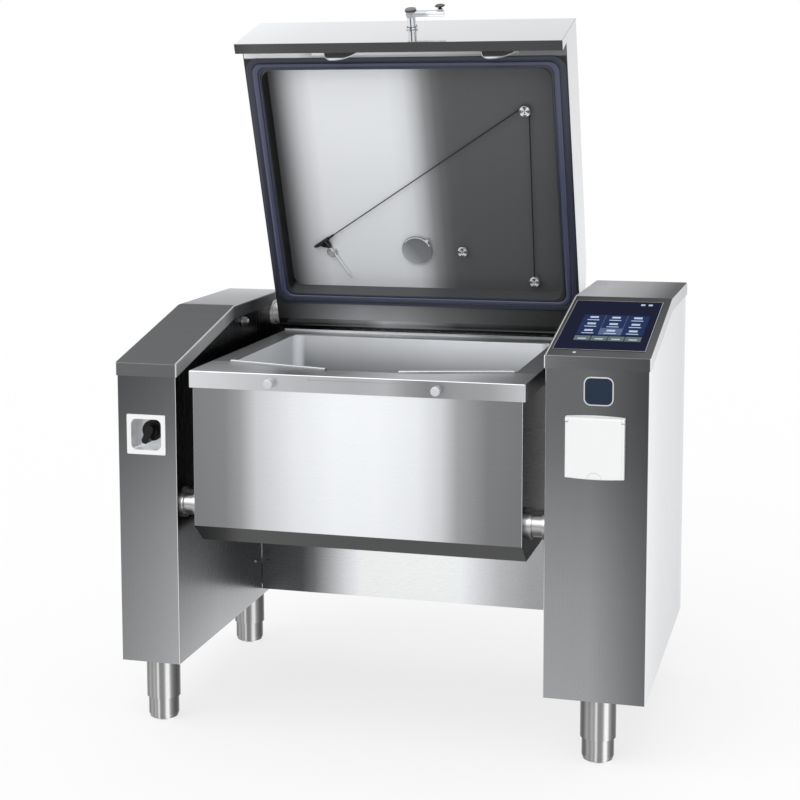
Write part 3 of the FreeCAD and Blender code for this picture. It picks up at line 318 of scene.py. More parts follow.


# Stud head with four painted highlight spokes; its side gets painted shade and highlight
def spokeHighlightSteel(name, x, s, turn=0.0):
    material, tree, shader = newFinish(name, metallic=0.35, roughness=0.2)
    place = addNode(tree, "ShaderNodeTexCoord")
    aside = addNode(tree, "ShaderNodeMath", {"operation": "SUBTRACT"}, {1: x})
    tree.links.new(measure(tree, place.outputs["Object"], "X"), aside.inputs[0])
    ahead = addNode(tree, "ShaderNodeMath", {"operation": "SUBTRACT"}, {1: hingeRun + s})
    tree.links.new(measure(tree, place.outputs["Object"], tuple(lidAlong)), ahead.inputs[0])
    angle = addNode(tree, "ShaderNodeMath", {"operation": "ARCTAN2"})
    tree.links.new(ahead.outputs[0], angle.inputs[0])
    tree.links.new(aside.outputs[0], angle.inputs[1])
    four = addNode(tree, "ShaderNodeMath", {"operation": "MULTIPLY_ADD"}, {1: 4.0, 2: turn})
    tree.links.new(angle.outputs[0], four.inputs[0])
    wave = addNode(tree, "ShaderNodeMath", {"operation": "COSINE"})
    tree.links.new(four.outputs[0], wave.inputs[0])
    spokeHighlights = ramp(tree, wave.outputs[0], [(0.0, 0.98), (0.25, 0.93), (0.5, 0.62), (0.75, 0.42), (1.0, 0.36)], -1.0, 1.0)
    head = spanOf(tree, measure(tree, place.outputs["Normal"], tuple(lidDown)), 0.80, 0.95)
    # painted shade and highlight around the stud's side, by its normal
    side = ramp(tree, measure(tree, place.outputs["Normal"], (0.8, 0.0, 0.6)),
                [(0.0, 0.2), (0.3, 0.55), (0.55, 0.95), (0.75, 0.5), (1.0, 0.8)], -1.0, 1.0)
    grained(tree, shader, place, mixColour(tree, head, side, spokeHighlights), even(500.0), 0.02, 0.2)
    return material


def plainFinish(name, base, metallic, roughness, grain=(60.0, 60.0, 60.0), contrast=0.05, bumpDepth=0.0001):
    material, tree, shader = newFinish(name, metallic=metallic, roughness=roughness)
    place = addNode(tree, "ShaderNodeTexCoord")
    grained(tree, shader, place, base, grain, contrast, roughness, bumpDepth)
    return material


def shine(material, level):
    material.node_tree.nodes["Principled BSDF"].inputs["Specular IOR Level"].default_value = level


def dress(material, *names):
    for name in names:
        thing = nodes[name] if isinstance(name, str) else name
        thing.data.materials.clear()
        thing.data.materials.append(material)


def even(scale):
    return (scale, scale, scale)


uprightGrain = (420.0, 420.0, 3.0)
levelGrain = (3.0, 420.0, 420.0)
forward, backward, rightward, leftward = (0, -1, 0), (0, 1, 0), (1, 0, 0), (-1, 0, 0)
upward, downward = (0, 0, 1), (0, 0, -1)
pillarLow, leftTop, rightTop = leftCasing[0].z, 0.911, 0.968
pillarFront, pillarBack = leftCasing[0].y, leftCasing[1].y
foldWidth = 0.0022                 # painted highlight line along a folded edge
flatStart = (0.050, 0.054)         # where the right cap's slope ends


def flat(direction, level, **more):
    return dict({"direction": direction, "layers": [("Z", 0.0, 2.0, [(0.0, level), (1.0, level)])]}, **more)


def between(axis, low, high, blur=0.0004):
    return [(axis, low - blur, low + blur), (axis, high + blur, high - blur)]


# Pillar casings: the tones on each face are painted reflection and shade, lighter or darker with height and across; the
# inner faces are painted dark where shade falls between pillar and pan
leftPillarSteel = steelSheet("leftPillarSteel", 0.5, [
    {"direction": forward, "layers": [
        ("Z", pillarLow, leftTop, [(0.0, 0.66), (0.27, 0.61), (0.48, 0.56), (0.64, 0.50), (0.81, 0.42), (1.0, 0.37)]),
        ("X", leftCasing[0].x, leftCasing[1].x, [(0.0, 0.83), (0.5, 0.91), (1.0, 1.0)])]},
    {"direction": rightward, "layers": [
        ("Z", pillarLow, leftTop, [(0.0, 0.72), (0.12, 0.62), (0.26, 0.50), (0.38, 0.34), (0.5, 0.05), (0.8, 0.04),
                                   (1.0, 0.10)]),
        ("Y", pillarFront, pillarBack, [(0.0, 0.92), (0.35, 1.0), (0.7, 0.96), (1.0, 1.0)])]},
    {"direction": leftward, "layers": [("Y", pillarFront, pillarBack, [(0.0, 0.62), (0.5, 0.72), (1.0, 0.80)])]},
], uprightGrain, edge=0.96)
rightPillarSteel = steelSheet("rightPillarSteel", 0.5, [
    {"direction": forward, "layers": [
        ("Z", pillarLow, rightTop, [(0.0, 0.64), (0.3, 0.60), (0.5, 0.54), (0.7, 0.455), (0.85, 0.42), (1.0, 0.42)]),
        ("X", rightCasing[0].x, rightCasing[1].x, [(0.0, 0.98), (0.45, 0.97), (0.8, 0.79), (1.0, 0.68)])]},
    {"direction": leftward, "layers": [
        ("Z", pillarLow, rightTop, [(0.0, 0.50), (0.35, 0.30), (0.6, 0.10), (1.0, 0.14)])]},
    {"direction": rightward, "layers": [
        ("Y", pillarFront, pillarBack, [(0.0, 0.94), (0.35, 0.87), (0.7, 0.84), (0.9, 0.82), (1.0, 0.86)])]},
], uprightGrain, edge=0.96)
dress(leftPillarSteel, "left_casing")
dress(rightPillarSteel, "right_casing")

# Pillar caps: the tones on slope, flat, skirt and sides are painted light, shade and reflection; the thin strips at the
# folds are painted highlights
leftCapSteel = steelSheet("leftCapSteel", 0.40, [
    {"direction": upward, "layers": [
        ("Y", pillarFront, pillarBack, [(0.0, 0.395), (0.53, 0.385), (0.55, 0.66), (0.8, 0.70), (1.0, 0.76)])]},
    {"direction": upward, "within": between("X", leftCasing[1].x, leftCasing[1].x + foldWidth), "layers": [
        ("Y", pillarFront, pillarBack, [(0.0, 0.92), (0.52, 0.9), (0.57, 0.72), (1.0, 0.72)])]},
    flat(forward, 0.39),
    {"direction": rightward, "layers": [
        ("Y", pillarFront, pillarBack, [(0.0, 0.66), (0.2, 0.76), (0.42, 0.72), (0.52, 0.36), (0.7, 0.27),
                                        (0.9, 0.42), (1.0, 0.5)])]},
    flat(leftward, 0.72),
], levelGrain, edge=0.93, metallic=0.1, gloss=0.0)
rightCapSteel = steelSheet("rightCapSteel", 0.40, [
    {"direction": upward, "layers": [
        ("Y", pillarFront, pillarBack, [(0.0, 0.36), (0.2, 0.34), (0.53, 0.28), (1.0, 0.28)]),
        ("X", rightCasing[0].x, rightCasing[1].x, [(0.0, 0.92), (0.35, 1.0), (0.8, 0.93), (0.93, 1.0), (1.0, 1.0)])]},
    {"direction": upward, "within": [("Y", *flatStart)], "layers": [
        ("X", rightCasing[0].x, rightCasing[1].x, [(0.0, 0.70), (0.226, 0.71), (0.437, 0.66), (0.646, 0.60),
                                                   (0.855, 0.46), (0.943, 0.38), (1.0, 0.36)])]},
    {"direction": upward, "within": between("X", rightCasing[0].x, rightCasing[0].x + foldWidth), "layers": [
        ("Y", pillarFront, pillarBack, [(0.0, 0.88), (0.54, 0.84), (0.57, 0.7), (1.0, 0.7)])]},
    {"direction": forward, "layers": [
        ("X", rightCasing[0].x, rightCasing[1].x, [(0.0, 0.44), (0.15, 0.40), (0.5, 0.36), (1.0, 0.29)])]},
    flat(leftward, 0.62),
    {"direction": rightward, "layers": [("Y", pillarFront, pillarBack, [(0.0, 0.92), (0.35, 0.87), (1.0, 0.83)])]},
], levelGrain, edge=0.95, metallic=0.1, gloss=0.0)
dress(leftCapSteel, "left_cap")
dress(rightCapSteel, "right_cap")

# Pan: the bright middle and darker sides of the front are painted reflection; the slope underneath and the sides are
# painted shade
panSteel = steelSheet("panSteel", 0.3, [
    {"direction": forward, "layers": [
        ("X", panBox[0].x, panBox[1].x, [(0.0, 0.50), (0.10, 0.53), (0.15, 0.62), (0.20, 0.80), (0.32, 0.92),
                                         (0.44, 0.965), (0.57, 0.965), (0.69, 0.93), (0.76, 0.83), (0.81, 0.64),
                                         (0.90, 0.50), (1.0, 0.475)]),
        ("Z", 0.52, 0.86, [(0.0, 0.97), (0.2, 0.98), (0.8, 1.0), (1.0, 1.0)])]},
    {"direction": (0, -0.64, -0.77), "soft": (0.9, 0.98), "layers": [
        ("X", panBox[0].x, panBox[1].x, [(0.0, 0.19), (0.2, 0.235), (0.5, 0.22), (0.85, 0.21), (1.0, 0.20)])]},
    {"direction": leftward, "layers": [("Z", 0.5, 0.9, [(0.0, 0.4), (1.0, 0.3)])]},
    {"direction": rightward, "layers": [("Z", 0.5, 0.9, [(0.0, 0.42), (0.3, 0.2), (1.0, 0.1)])]},
], levelGrain, edge=0.92)
dress(panSteel, "pan_casing", "pan_bottom_cover")

rimX = (rimBox[0].x, rimBox[1].x)
frontStrip = (-0.2465, -0.2495)    # the rim in front of the basin
rearStrip = (0.264, 0.267)
ledgeTop = (0.9008, 0.9016)        # what stands higher is a ledge of the spout
# Rim: the tones are painted light and shade; the rear strip is painted bright as a reflection, and the spout ledges and
# the front edge's rounding carry painted highlights
rimSteel = steelSheet("rimSteel", 0.5, [
    {"direction": upward, "metal": 0.15, "layers": [("X", *rimX, [(0.0, 0.40), (0.5, 0.42), (1.0, 0.44)])]},
    {"direction": upward, "metal": 0.15, "within": [("Y", *frontStrip)], "layers": [
        ("X", *rimX, [(0.0, 0.52), (0.18, 0.54), (0.33, 0.40), (0.45, 0.48), (0.62, 0.74), (0.78, 0.78), (0.92, 0.60),
                      (0.98, 0.5), (1.0, 0.5)])]},
    {"direction": upward, "metal": 0.7, "within": [("Y", *rearStrip)], "layers": [
        ("X", *rimX, [(0.0, 0.60), (0.09, 0.70), (0.2, 1.0), (0.31, 1.0), (0.42, 1.0), (0.52, 0.95), (0.66, 0.88),
                      (0.76, 0.66), (0.87, 0.50), (1.0, 0.45)])]},
    {"direction": None, "within": [("Z", *ledgeTop)], "metal": 0.3, "layers": [
        ("X", *rimX, [(0.0, 0.62), (0.48, 0.70), (0.52, 0.94), (1.0, 0.92)])]},
    {"direction": forward, "layers": [
        ("X", *rimX, [(0.0, 0.85), (0.17, 0.78), (0.33, 0.725), (0.5, 0.69), (0.6, 0.71), (0.66, 0.60), (0.72, 0.52),
                      (0.80, 0.60), (0.90, 0.63), (0.97, 0.73), (1.0, 0.77)])]},
    {"direction": (0.0, -0.707, 0.707), "soft": (0.88, 0.97), "layers": [
        ("X", *rimX, [(0.0, 0.96), (0.3, 0.90), (0.6, 0.93), (1.0, 0.88)])]},
    flat(rightward, 0.42, metal=0.4),
    flat(leftward, 0.55, metal=0.4),
], levelGrain, roughness=0.28, edge=0.88, gloss=0.1)
dress(rimSteel, "pan_rim")

basinX = (panMid - 0.355, panMid + 0.355)
basinY = (-0.247, 0.265)
# Basin: the wall tones are painted light and shade, darker towards the bottom, with a painted highlight on the
# rear-left rounded corner
basinSteel = steelSheet("basinSteel", 0.80, [
    {"direction": rightward, "soft": (0.7, 1.0), "layers": [("Y", *basinY, [(0.0, 1.0), (0.6, 0.95), (1.0, 0.84)])]},
    {"direction": forward, "soft": (0.7, 1.0), "layers": [
        ("X", *basinX, [(0.0, 0.84), (0.1, 0.88), (0.25, 0.90), (0.5, 0.97), (0.6, 1.0), (1.0, 1.0)]),
        ("Z", 0.80, 0.90, [(0.0, 0.61), (0.25, 0.71), (0.55, 0.855), (0.75, 0.93), (1.0, 1.0)])]},
    flat((0.71, -0.71, 0.0), 1.0, soft=(0.8, 0.99)),
    flat((-0.71, -0.71, 0.0), 0.80, soft=(0.8, 0.99)),
    flat(leftward, 0.97, soft=(0.7, 1.0)),
    flat(upward, 0.80),
], even(60.0), roughness=0.35, contrast=0.006, metallic=0.2, gloss=0.2)
dress(basinSteel, "basin")

trayX = [corner.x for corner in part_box("lid_tray")]
hingeDepth = Vector((0.0, hingeY, hingeZ)).dot(lidDown)
hingeRun = Vector((0.0, hingeY, hingeZ)).dot(lidAlong)
panelX = (panMid - 0.379, panMid + 0.379)
lidDownward, lidForward = tuple(lidDown), tuple(lidAlong)
onFlange = (lidDownward, hingeDepth + 0.02, hingeDepth + 0.03)
onNose = (lidForward, hingeRun + 0.764, hingeRun + 0.768)          # the flange's front strip
# Lid tray: the bright and dark bands across the panel are painted reflection; the flange, its front strip and the walls
# carry painted light and shade
traySteel = steelSheet("traySteel", 0.25, [
    {"direction": lidDownward, "layers": [
        ("X", *panelX, [(0.0, 0.40), (0.015, 0.46), (0.035, 0.60), (0.065, 0.78), (0.095, 0.90),
                                      (0.15, 1.0), (0.423, 1.0), (0.476, 0.95), (0.515, 0.80), (0.544, 0.62),
                                      (0.581, 0.47), (0.615, 0.405), (0.66, 0.39), (1.0, 0.38)]),
        (lidForward, hingeRun + 0.08, hingeRun + 0.74,
         [(0.0, 0.96), (0.15, 0.98), (0.3, 0.99), (0.6, 1.0), (1.0, 0.99)])]},
    {"direction": lidDownward, "within": [onFlange], "layers": [
        ("X", *trayX, [(0.0, 0.22), (0.03, 0.26), (0.144, 0.46), (0.28, 0.60), (0.42, 0.57),
                                           (0.55, 0.44), (0.68, 0.35), (0.81, 0.29), (1.0, 0.22)])]},
    {"direction": lidDownward, "within": [onFlange, onNose], "layers": [
        ("X", *trayX, [(0.0, 0.97), (0.17, 0.97), (0.22, 0.80), (0.6, 0.75), (0.8, 0.55),
                                           (1.0, 0.50)])]},
    flat(rightward, 0.12),
    flat(lidForward, 0.34),
], levelGrain, roughness=0.30, contrast=0.006, metallic=0.1, gloss=0.1)
dress(traySteel, "lid_tray")

apronNormal = (lidAlong * 0.996 - lidDown * 0.088).normalized()
noseX = (lidBox[0].x, lidBox[1].x)
# Lid shell: the apron's tones are painted reflection; the underside and the nose around the hinge are painted dark as
# shade and reflected shade
shellSteel = steelSheet("shellSteel", 0.30, [
    {"direction": tuple(apronNormal), "soft": (0.85, 0.97), "layers": [
        ("X", *noseX, [(0.0, 0.945), (0.2, 0.895), (0.6, 0.86), (0.85, 0.84), (1.0, 0.835)]),
        (lidDownward, hingeDepth - 0.11, hingeDepth + 0.09, [(0.0, 1.0), (0.7, 0.98), (1.0, 0.97)])]},
    flat(downward, 0.08, soft=(0.45, 0.6)),
    {"direction": lidDownward, "soft": (0.85, 0.97), "metal": 0.4, "layers": [
        ("X", *noseX, [(0.0, 0.24), (0.06, 0.31), (0.2, 0.27), (0.5, 0.25), (0.9, 0.25), (1.0, 0.23)])]},
    {"direction": (0, -0.94, -0.34), "within": [(lidForward, hingeRun + 0.02, hingeRun)], "metal": 0.2, "layers": [
        ("X", *noseX, [(0.0, 0.12), (0.16, 0.18), (0.30, 0.40), (0.36, 0.62), (0.50, 0.46), (0.60, 0.16),
                       (1.0, 0.06)])]},
    {"direction": rightward, "metal": 0.5, "layers": [
        (lidForward, hingeRun, hingeRun + 0.82, [(0.0, 0.88), (0.15, 0.92), (0.5, 0.85), (1.0, 0.79)])]},
    flat(leftward, 0.85),
    flat(backward, 0.8),
], levelGrain, roughness=0.08)
dress(shellSteel, "lid_shell")

# Back panel: the bright middle and darker ends are painted reflection and shade
panelSteel = steelSheet("panelSteel", 0.4, [
    {"direction": forward, "layers": [
        ("X", leftCasing[1].x, rightCasing[0].x, [(0.0, 0.34), (0.13, 0.36), (0.17, 0.50), (0.223, 0.74), (0.27, 0.90),
                                                  (0.318, 1.0), (0.45, 1.0), (0.55, 1.0), (0.63, 0.99),
                                                  (0.70, 0.86), (0.75, 0.76), (0.84, 0.66), (1.0, 0.63)])]},
    flat(backward, 0.6),
], levelGrain, metallic=0.9)
dress(panelSteel, "back_panel", "rear_tie")

plainSteel = plainFinish("plainSteel", grey(0.62), 1.0, 0.30, even(300.0), 0.03)
# Feet, tubes and chrome parts: the light and dark bands along them are painted reflections
footSteel = reflectionBandSteel("footSteel", (0.959, 0.282, 0.0), [
    (0.0, 0.30), (0.06, 0.38), (0.13, 0.64), (0.20, 0.54), (0.26, 0.67), (0.32, 0.58), (0.375, 0.90), (0.43, 0.54),
    (0.52, 0.53), (0.57, 0.66), (0.62, 0.98), (0.69, 1.0), (0.75, 0.64), (0.82, 0.46), (0.90, 0.33), (0.97, 0.31),
    (1.0, 0.42)], grain=(4.0, 4.0, 500.0), metallic=0.8)
tubeSteel = reflectionBandSteel("tubeSteel", upward, [
    (0.0, 0.22), (0.25, 0.40), (0.42, 0.72), (0.52, 0.62), (0.60, 0.98), (0.68, 0.96), (0.76, 0.45), (0.88, 0.28),
    (1.0, 0.6)], grain=(4.0, 500.0, 500.0), metallic=0.6)
chromeSteel = reflectionBandSteel("chromeSteel", (0.62, -0.32, 0.72), [
    (0.0, 0.30), (0.2, 0.75), (0.36, 0.30), (0.46, 0.92), (0.58, 0.60), (0.68, 0.98), (0.80, 0.45), (0.9, 0.9),
    (1.0, 0.98)], roughness=0.10, metallic=0.5)
handleX = panMid + 0.0155          # middle of the handle's post
# Handle: each side's tone is painted light and shade, and the post carries painted reflection bands
handleSteel = steelSheet("handleSteel", 0.62, [
    {"direction": tuple(apronNormal), "layers": [
        ("X", handleX, handleX + 0.086, [(0.0, 0.70), (0.45, 0.74), (0.6, 0.98), (1.0, 1.0)])]},
    flat(tuple(-apronNormal), 0.42),
    {"direction": lidDownward, "soft": (0.3, 0.6), "layers": [
        ("X", handleX, handleX + 0.086, [(0.0, 0.72), (0.45, 0.76), (0.6, 0.98), (1.0, 1.0)])]},
    flat(upward, 0.93),
    flat(rightward, 0.88),
    flat(leftward, 0.60),
    {"direction": None, "within": between("X", handleX - 0.0125, handleX + 0.0125)
                                  + between(lidForward, hingeRun + 0.810, hingeRun + 0.8445), "layers": [
        (("normal", rightward), -1.0, 1.0,
         [(0.0, 0.80), (0.25, 1.0), (0.42, 0.9), (0.47, 0.08), (0.54, 0.08), (0.6, 1.0), (0.8, 1.0), (0.87, 0.25),
          (0.93, 0.9), (1.0, 0.9)])]},
    {"direction": None, "within": [(lidForward, hingeRun + 0.8597, hingeRun + 0.8604)], "layers": [
        ("X", handleX - 0.015, handleX + 0.015, [(0.0, 0.38), (1.0, 0.34)])]},
], even(500.0), roughness=0.12, metallic=0.5)
clawDepth = (lidDownward, hingeDepth + 0.070, hingeDepth + 0.074)  # the claws, below the sliding bar
# Lock bar: the gradient along the bar is painted reflection; the claws' front lip is a painted highlight and their
# faces painted shade
lockSteel = steelSheet("lockSteel", 0.90, [
    {"direction": lidDownward, "soft": (0.9, 0.97), "layers": [
        ("X", panMid - 0.24, panMid + 0.32, [(0.0, 0.95), (0.5, 0.80), (1.0, 0.55)])]},
    flat(lidForward, 0.97, within=[clawDepth]),
    {"direction": lidDownward, "soft": (0.9, 0.97), "within": [clawDepth], "layers": [
        (lidForward, hingeRun + 0.7755, hingeRun + 0.7965,
         [(0.0, 0.98), (0.30, 0.95), (0.42, 0.30), (0.55, 0.16), (1.0, 0.14)])]},
], even(300.0), roughness=0.2, metallic=0.4)
ventMiddle = 0.8 * -0.060 + 0.6 * (hingeRun + 0.201)
ventEdge = hingeDepth + trayPanel + 0.0083
# Vent baffle: the gradient across the disc is painted reflection, and the clip's rim is a painted highlight
ventSteel = steelSheet("ventSteel", 0.62, [
    {"direction": lidDownward, "layers": [
        ((0.8, 0.6 * lidAlong.y, 0.6 * lidAlong.z), ventMiddle - 0.041, ventMiddle + 0.041,
         [(0.0, 0.78), (0.45, 0.58), (1.0, 0.52)])]},
    flat(lidDownward, 0.97, within=[(lidDownward, ventEdge, ventEdge + 0.0007)]),
], even(300.0), roughness=0.3, metallic=0.35)
discSteel = plainFinish("discSteel", grey(0.80), 0.6, 0.32, even(300.0), 0.02)
guideSteel = spokeHighlightSteel("guideSteel", 0.258, 0.603)
hookSteel = spokeHighlightSteel("hookSteel", 0.066, 0.201)
glandSteel = spokeHighlightSteel("glandSteel", 0.255, 0.116)
frameSteel = plainFinish("frameSteel", grey(0.42), 0.8, 0.45)
heaterAlloy = plainFinish("heaterAlloy", grey(0.62), 0.9, 0.5)
mineralWool = plainFinish("mineralWool", colour(0.66, 0.60, 0.42), 0.0, 0.95, even(220.0), 0.25, 0.002)
blackPlastic = plainFinish("blackPlastic", grey(0.08), 0.0, 0.30, even(900.0), 0.10)
shine(blackPlastic, 0.2)
blackRubber = plainFinish("blackRubber", grey(0.07), 0.0, 0.6, even(900.0), 0.15)
whitePlastic = plainFinish("whitePlastic", grey(0.92, 0.003), 0.0, 0.35, even(500.0), 0.01)
blueSilicone = plainFinish("blueSilicone", colour(0.185, 0.20, 0.265), 0.0, 0.30, even(120.0), 0.04)
displayGlass = plainFinish("displayGlass", colour(0.13, 0.14, 0.215), 0.0, 0.5, even(80.0), 0.02, 0.00001)
shine(displayGlass, 0.0)
# Switch recess: the tones per side are painted light and shade, and the back wall is painted darker towards the top
recessSteel = steelSheet("recessSteel", 0.7, [
    {"direction": forward, "layers": [
        ("Z", 0.78, 0.87, [(0.0, 0.80), (0.4, 0.55), (1.0, 0.35)])]},
    flat(upward, 0.95), flat(downward, 0.25), flat(rightward, 0.85), flat(leftward, 0.45),
], even(300.0), roughness=0.15, metallic=0.6)
dress(plainSteel, "left_rear_cover", "right_rear_cover")
dress(recessSteel, "switch_recess")
dress(lockSteel, "lock_bar")
dress(footSteel, "left_base", "right_base", "left_front_foot", "left_rear_foot", "right_front_foot",
      "right_rear_foot")
dress(tubeSteel, "tilt_bearing_left", "tilt_bearing_right", "trunnion_left", "trunnion_right")
# Lid hinge: the bands along it are painted reflections
hingeSteel = reflectionBandSteel("hingeSteel", (0.0, -0.6, 0.8), [
    (0.0, 0.30), (0.3, 0.55), (0.5, 0.80), (0.62, 1.0), (0.72, 0.85), (0.82, 1.0), (0.92, 0.8), (1.0, 1.0)],
    metallic=0.15)
dress(hingeSteel, "lid_bearing_left", "lid_bearing_right", "lid_hinge_tube")
dress(ventSteel, "vent_baffle")
dress(chromeSteel, "lid_stop_bolt", "side_screw", "probe_holder")
dress(guideSteel, "cable_guide")
dress(hookSteel, "basket_hook")
dress(glandSteel, "cable_gland")
dress(handleSteel, "lid_handle")
dress(frameSteel, "left_frame", "right_frame", "cross_beam", "lid_torsion_bar", "tilt_gearmotor")
dress(heaterAlloy, "heating_plate")
dress(mineralWool, "pan_insulation", "lid_insulation")
dress(blackPlastic, "switch_knob", "switch_body", "socket_insert", "controller", "power_unit")
button = nodes["handle_button"]
buttonTop = max((button.matrix_world @ vert.co).dot(lidAlong) for vert in button.data.vertices)
buttonFinish = steelSheet("buttonFinish", 0.82, [
    {"direction": None, "within": [(lidForward, buttonTop - 0.0100, buttonTop - 0.0094)], "layers": [
        ("Z", 0.0, 2.0, [(0.0, 0.12), (1.0, 0.12)])]},
], even(500.0), metallic=0.0, gloss=0.3)
dress(buttonFinish, button)
dress(blackRubber, "probe_cable")
dress(whitePlastic, "switch_plate", "socket_frame", "socket_flap")
dress(blueSilicone, "lid_gasket")
dress(displayGlass, "display_glass")

# The probe's spike is bright, its grip black
probeFinish, probeTree, probeShader = newFinish("probeFinish", metallic=0.0, roughness=0.3)
probePlace = addNode(probeTree, "ShaderNodeTexCoord")
spike = spanOf(probeTree, measure(probeTree, probePlace.outputs["Object"], lidForward),
               hingeRun + 0.206, hingeRun + 0.204)
probeTone = mixColour(probeTree, spike, grey(0.10), grey(0.95))
grained(probeTree, probeShader, probePlace, probeTone, even(400.0), 0.03, 0.22)
probeTree.links.new(spanOf(probeTree, spike, 0.0, 1.0, 0.0, 0.5), probeShader.inputs["Metallic"])
dress(probeFinish, "core_probe")
print("finishes ready")


# Pieces

def addPiece(name, bm, material, body, replaced=()):
    bmesh.ops.recalc_face_normals(bm, faces=bm.faces)
    mesh = bpy.data.meshes.new(name)
    bm.to_mesh(mesh)
    bm.free()
    mesh.materials.append(material)
    piece = bpy.data.objects.new(name, mesh)
    bpy.context.scene.collection.objects.link(piece)
    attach(piece, body)
    if replaced:
        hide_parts(*replaced)
    return piece


def smooth(piece, angle=35.0):
    for polygon in piece.data.polygons:
        polygon.use_smooth = True
    bm = bmesh.new()
    bm.from_mesh(piece.data)
    for edge in bm.edges:
        if len(edge.link_faces) == 2 and edge.calc_face_angle(0.0) > math.radians(angle):
            edge.smooth = False
    bm.to_mesh(piece.data)
    bm.free()


# Probe cable. The route's points are part.py's, in lid coordinates.
cableValues = {
    "length": 1.1520,
    "diameter": 0.003,
    "depth": trayPanel + 0.0085,
    "route": [(0.255388, 0.129995), (0.267942, 0.582717), (0.268674, 0.609134), (0.257391, 0.615296),
              (0.235561, 0.600400), (-0.289829, 0.241882)],
}


def makeCable(v):
    data = bpy.data.curves.new("probeCable", "CURVE")
    data.dimensions = "3D"
    data.bevel_depth = v["diameter"] / 2
    data.bevel_resolution = 4
    data.resolution_u = 24
    data.use_fill_caps = True
    spline = data.splines.new("NURBS")
    spline.points.add(len(v["route"]) - 1)
    for point, (x, s) in zip(spline.points, v["route"]):
        point.co = (*lidPoint(x, s, v["depth"]), 1.0)
    spline.order_u = 3
    spline.use_endpoint_u = True
    data.materials.append(blackRubber)
    cable = bpy.data.objects.new("probeCable", data)
    bpy.context.scene.collection.objects.link(cable)
    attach(cable, "lid")
    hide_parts("probe_cable")


makeCable(cableValues)


# Gasket: a soft ring with a bead between two lips
gasketValues = {
    "half": 0.4185,
    "sideways": 1.24,        # the sides of the ring are wider than its ends
    "back": 0.053,
    "front": 0.766,
    "corner": 0.034,
    "cornerSteps": 10,
    "profile": [(0.0, 0.0400), (0.0006, 0.0424), (0.0025, 0.0432), (0.0122, 0.0434), (0.0136, 0.0422),
                (0.0146, 0.0436), (0.0165, 0.0449), (0.0190, 0.0455), (0.0215, 0.0455), (0.0238, 0.0449),
                (0.0254, 0.0436), (0.0262, 0.0422), (0.0276, 0.0434), (0.0291, 0.0440), (0.0304, 0.0434),
                (0.0310, 0.0400)],
    "bead": (5, 10),
}


def gasketLoop(v, inset, depth):
    radius = v["corner"] - inset * 0.42
    aside = inset * v["sideways"]
    corners = [
        (panMid + v["half"] - aside - radius, v["front"] - inset - radius, 0.0),
        (panMid - v["half"] + aside + radius, v["front"] - inset - radius, 90.0),
        (panMid - v["half"] + aside + radius, v["back"] + inset + radius, 180.0),
        (panMid + v["half"] - aside - radius, v["back"] + inset + radius, 270.0),
    ]
    points = []
    for x, s, start in corners:
        for k in range(v["cornerSteps"] + 1):
            turn = math.radians(start + 90.0 * k / v["cornerSteps"])
            points.append(lidPoint(x + radius * math.cos(turn), s + radius * math.sin(turn), depth))
    return points


def makeGasket(v):
    bm = bmesh.new()
    loops = [[bm.verts.new(point) for point in gasketLoop(v, inset, depth)] for inset, depth in v["profile"]]
    for k, (outer, inner) in enumerate(zip(loops, loops[1:] + loops[:1])):
        for a, b, c, d in zip(outer, outer[1:] + outer[:1], inner[1:] + inner[:1], inner):
            face = bm.faces.new((a, b, c, d))
            face.material_index = 1 if v["bead"][0] <= k < v["bead"][1] else 0
    piece = addPiece("gasket", bm, blueSilicone, "lid", ["lid_gasket"])
    # The bead faces take a lighter blue: a painted highlight along the bead
    bead = plainFinish("siliconeBeadHighlight", colour(0.29, 0.305, 0.40), 0.0, 0.24, even(120.0), 0.04)
    piece.data.materials.append(bead)
    smooth(piece, 50.0)


makeGasket(gasketValues)


# Locking studs on the front of the rim
studValues = {"radius": 0.0113, "corner": 0.0018, "segments": 48}


def makeStud(name, node, v):
    low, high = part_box(node)
    bm = bmesh.new()
    bmesh.ops.create_cone(bm, cap_ends=True, segments=v["segments"], radius1=v["radius"], radius2=v["radius"],
                          depth=high.y - low.y)
    turn = Matrix.Translation((low + high) / 2) @ Matrix.Rotation(math.radians(90.0), 4, "X")
    bmesh.ops.transform(bm, matrix=turn, verts=bm.verts)
    front = [edge for edge in bm.edges if all(abs(vert.co.y - low.y) < 1e-5 for vert in edge.verts)]
    bmesh.ops.bevel(bm, geom=front, offset=v["corner"], segments=3, profile=0.5, affect="EDGES", material=-1)
    smooth(addPiece(name, bm, discSteel, "pan", [node]))


makeStud("studLeft", "lock_pin_left", studValues)
makeStud("studRight", "lock_pin_right", studValues)


# Display: a thin trim, tiles with plain marks, and a small lamp on the frame
slopeRise = 0.0835
slopeRun = 0.4435
slopeTilt = math.atan2(slopeRise, slopeRun)
slopeAlong = Vector((0.0, math.cos(slopeTilt), math.sin(slopeTilt)))
slopeUp = Vector((0.0, -math.sin(slopeTilt), math.cos(slopeTilt)))
slopeFoot = Vector((0.0, pillarFront - 0.0035, rightTop))
displayValues = {
    "glass": (0.417, 0.628, 0.040, 0.412),       # left, right, lower and upper edge, up the slope
    "glassTop": 0.0012,
    "trim": 0.0022,
    "tiles": (0.453, 0.609, 0.150, 0.299),
    "buttons": (0.107, 0.140),
    "gap": 0.0010,
    "thick": 0.0003,
}


def slopePoint(x, along, up):
    return Vector((x, 0.0, 0.0)) + slopeFoot + slopeAlong * along + slopeUp * up


def slopeTile(bm, x0, x1, a0, a1, low, high):
    tile = bmesh.ops.create_cube(bm, size=1.0)
    for vert in tile["verts"]:
        x = x0 if vert.co.x < 0 else x1
        along = a0 if vert.co.y < 0 else a1
        vert.co = slopePoint(x, along, low if vert.co.z < 0 else high)


def screenFinish(name, base, roughness=0.2):
    finish = plainFinish(name, base, 0.0, roughness, even(200.0), 0.02)
    shine(finish, 0.0)
    return finish


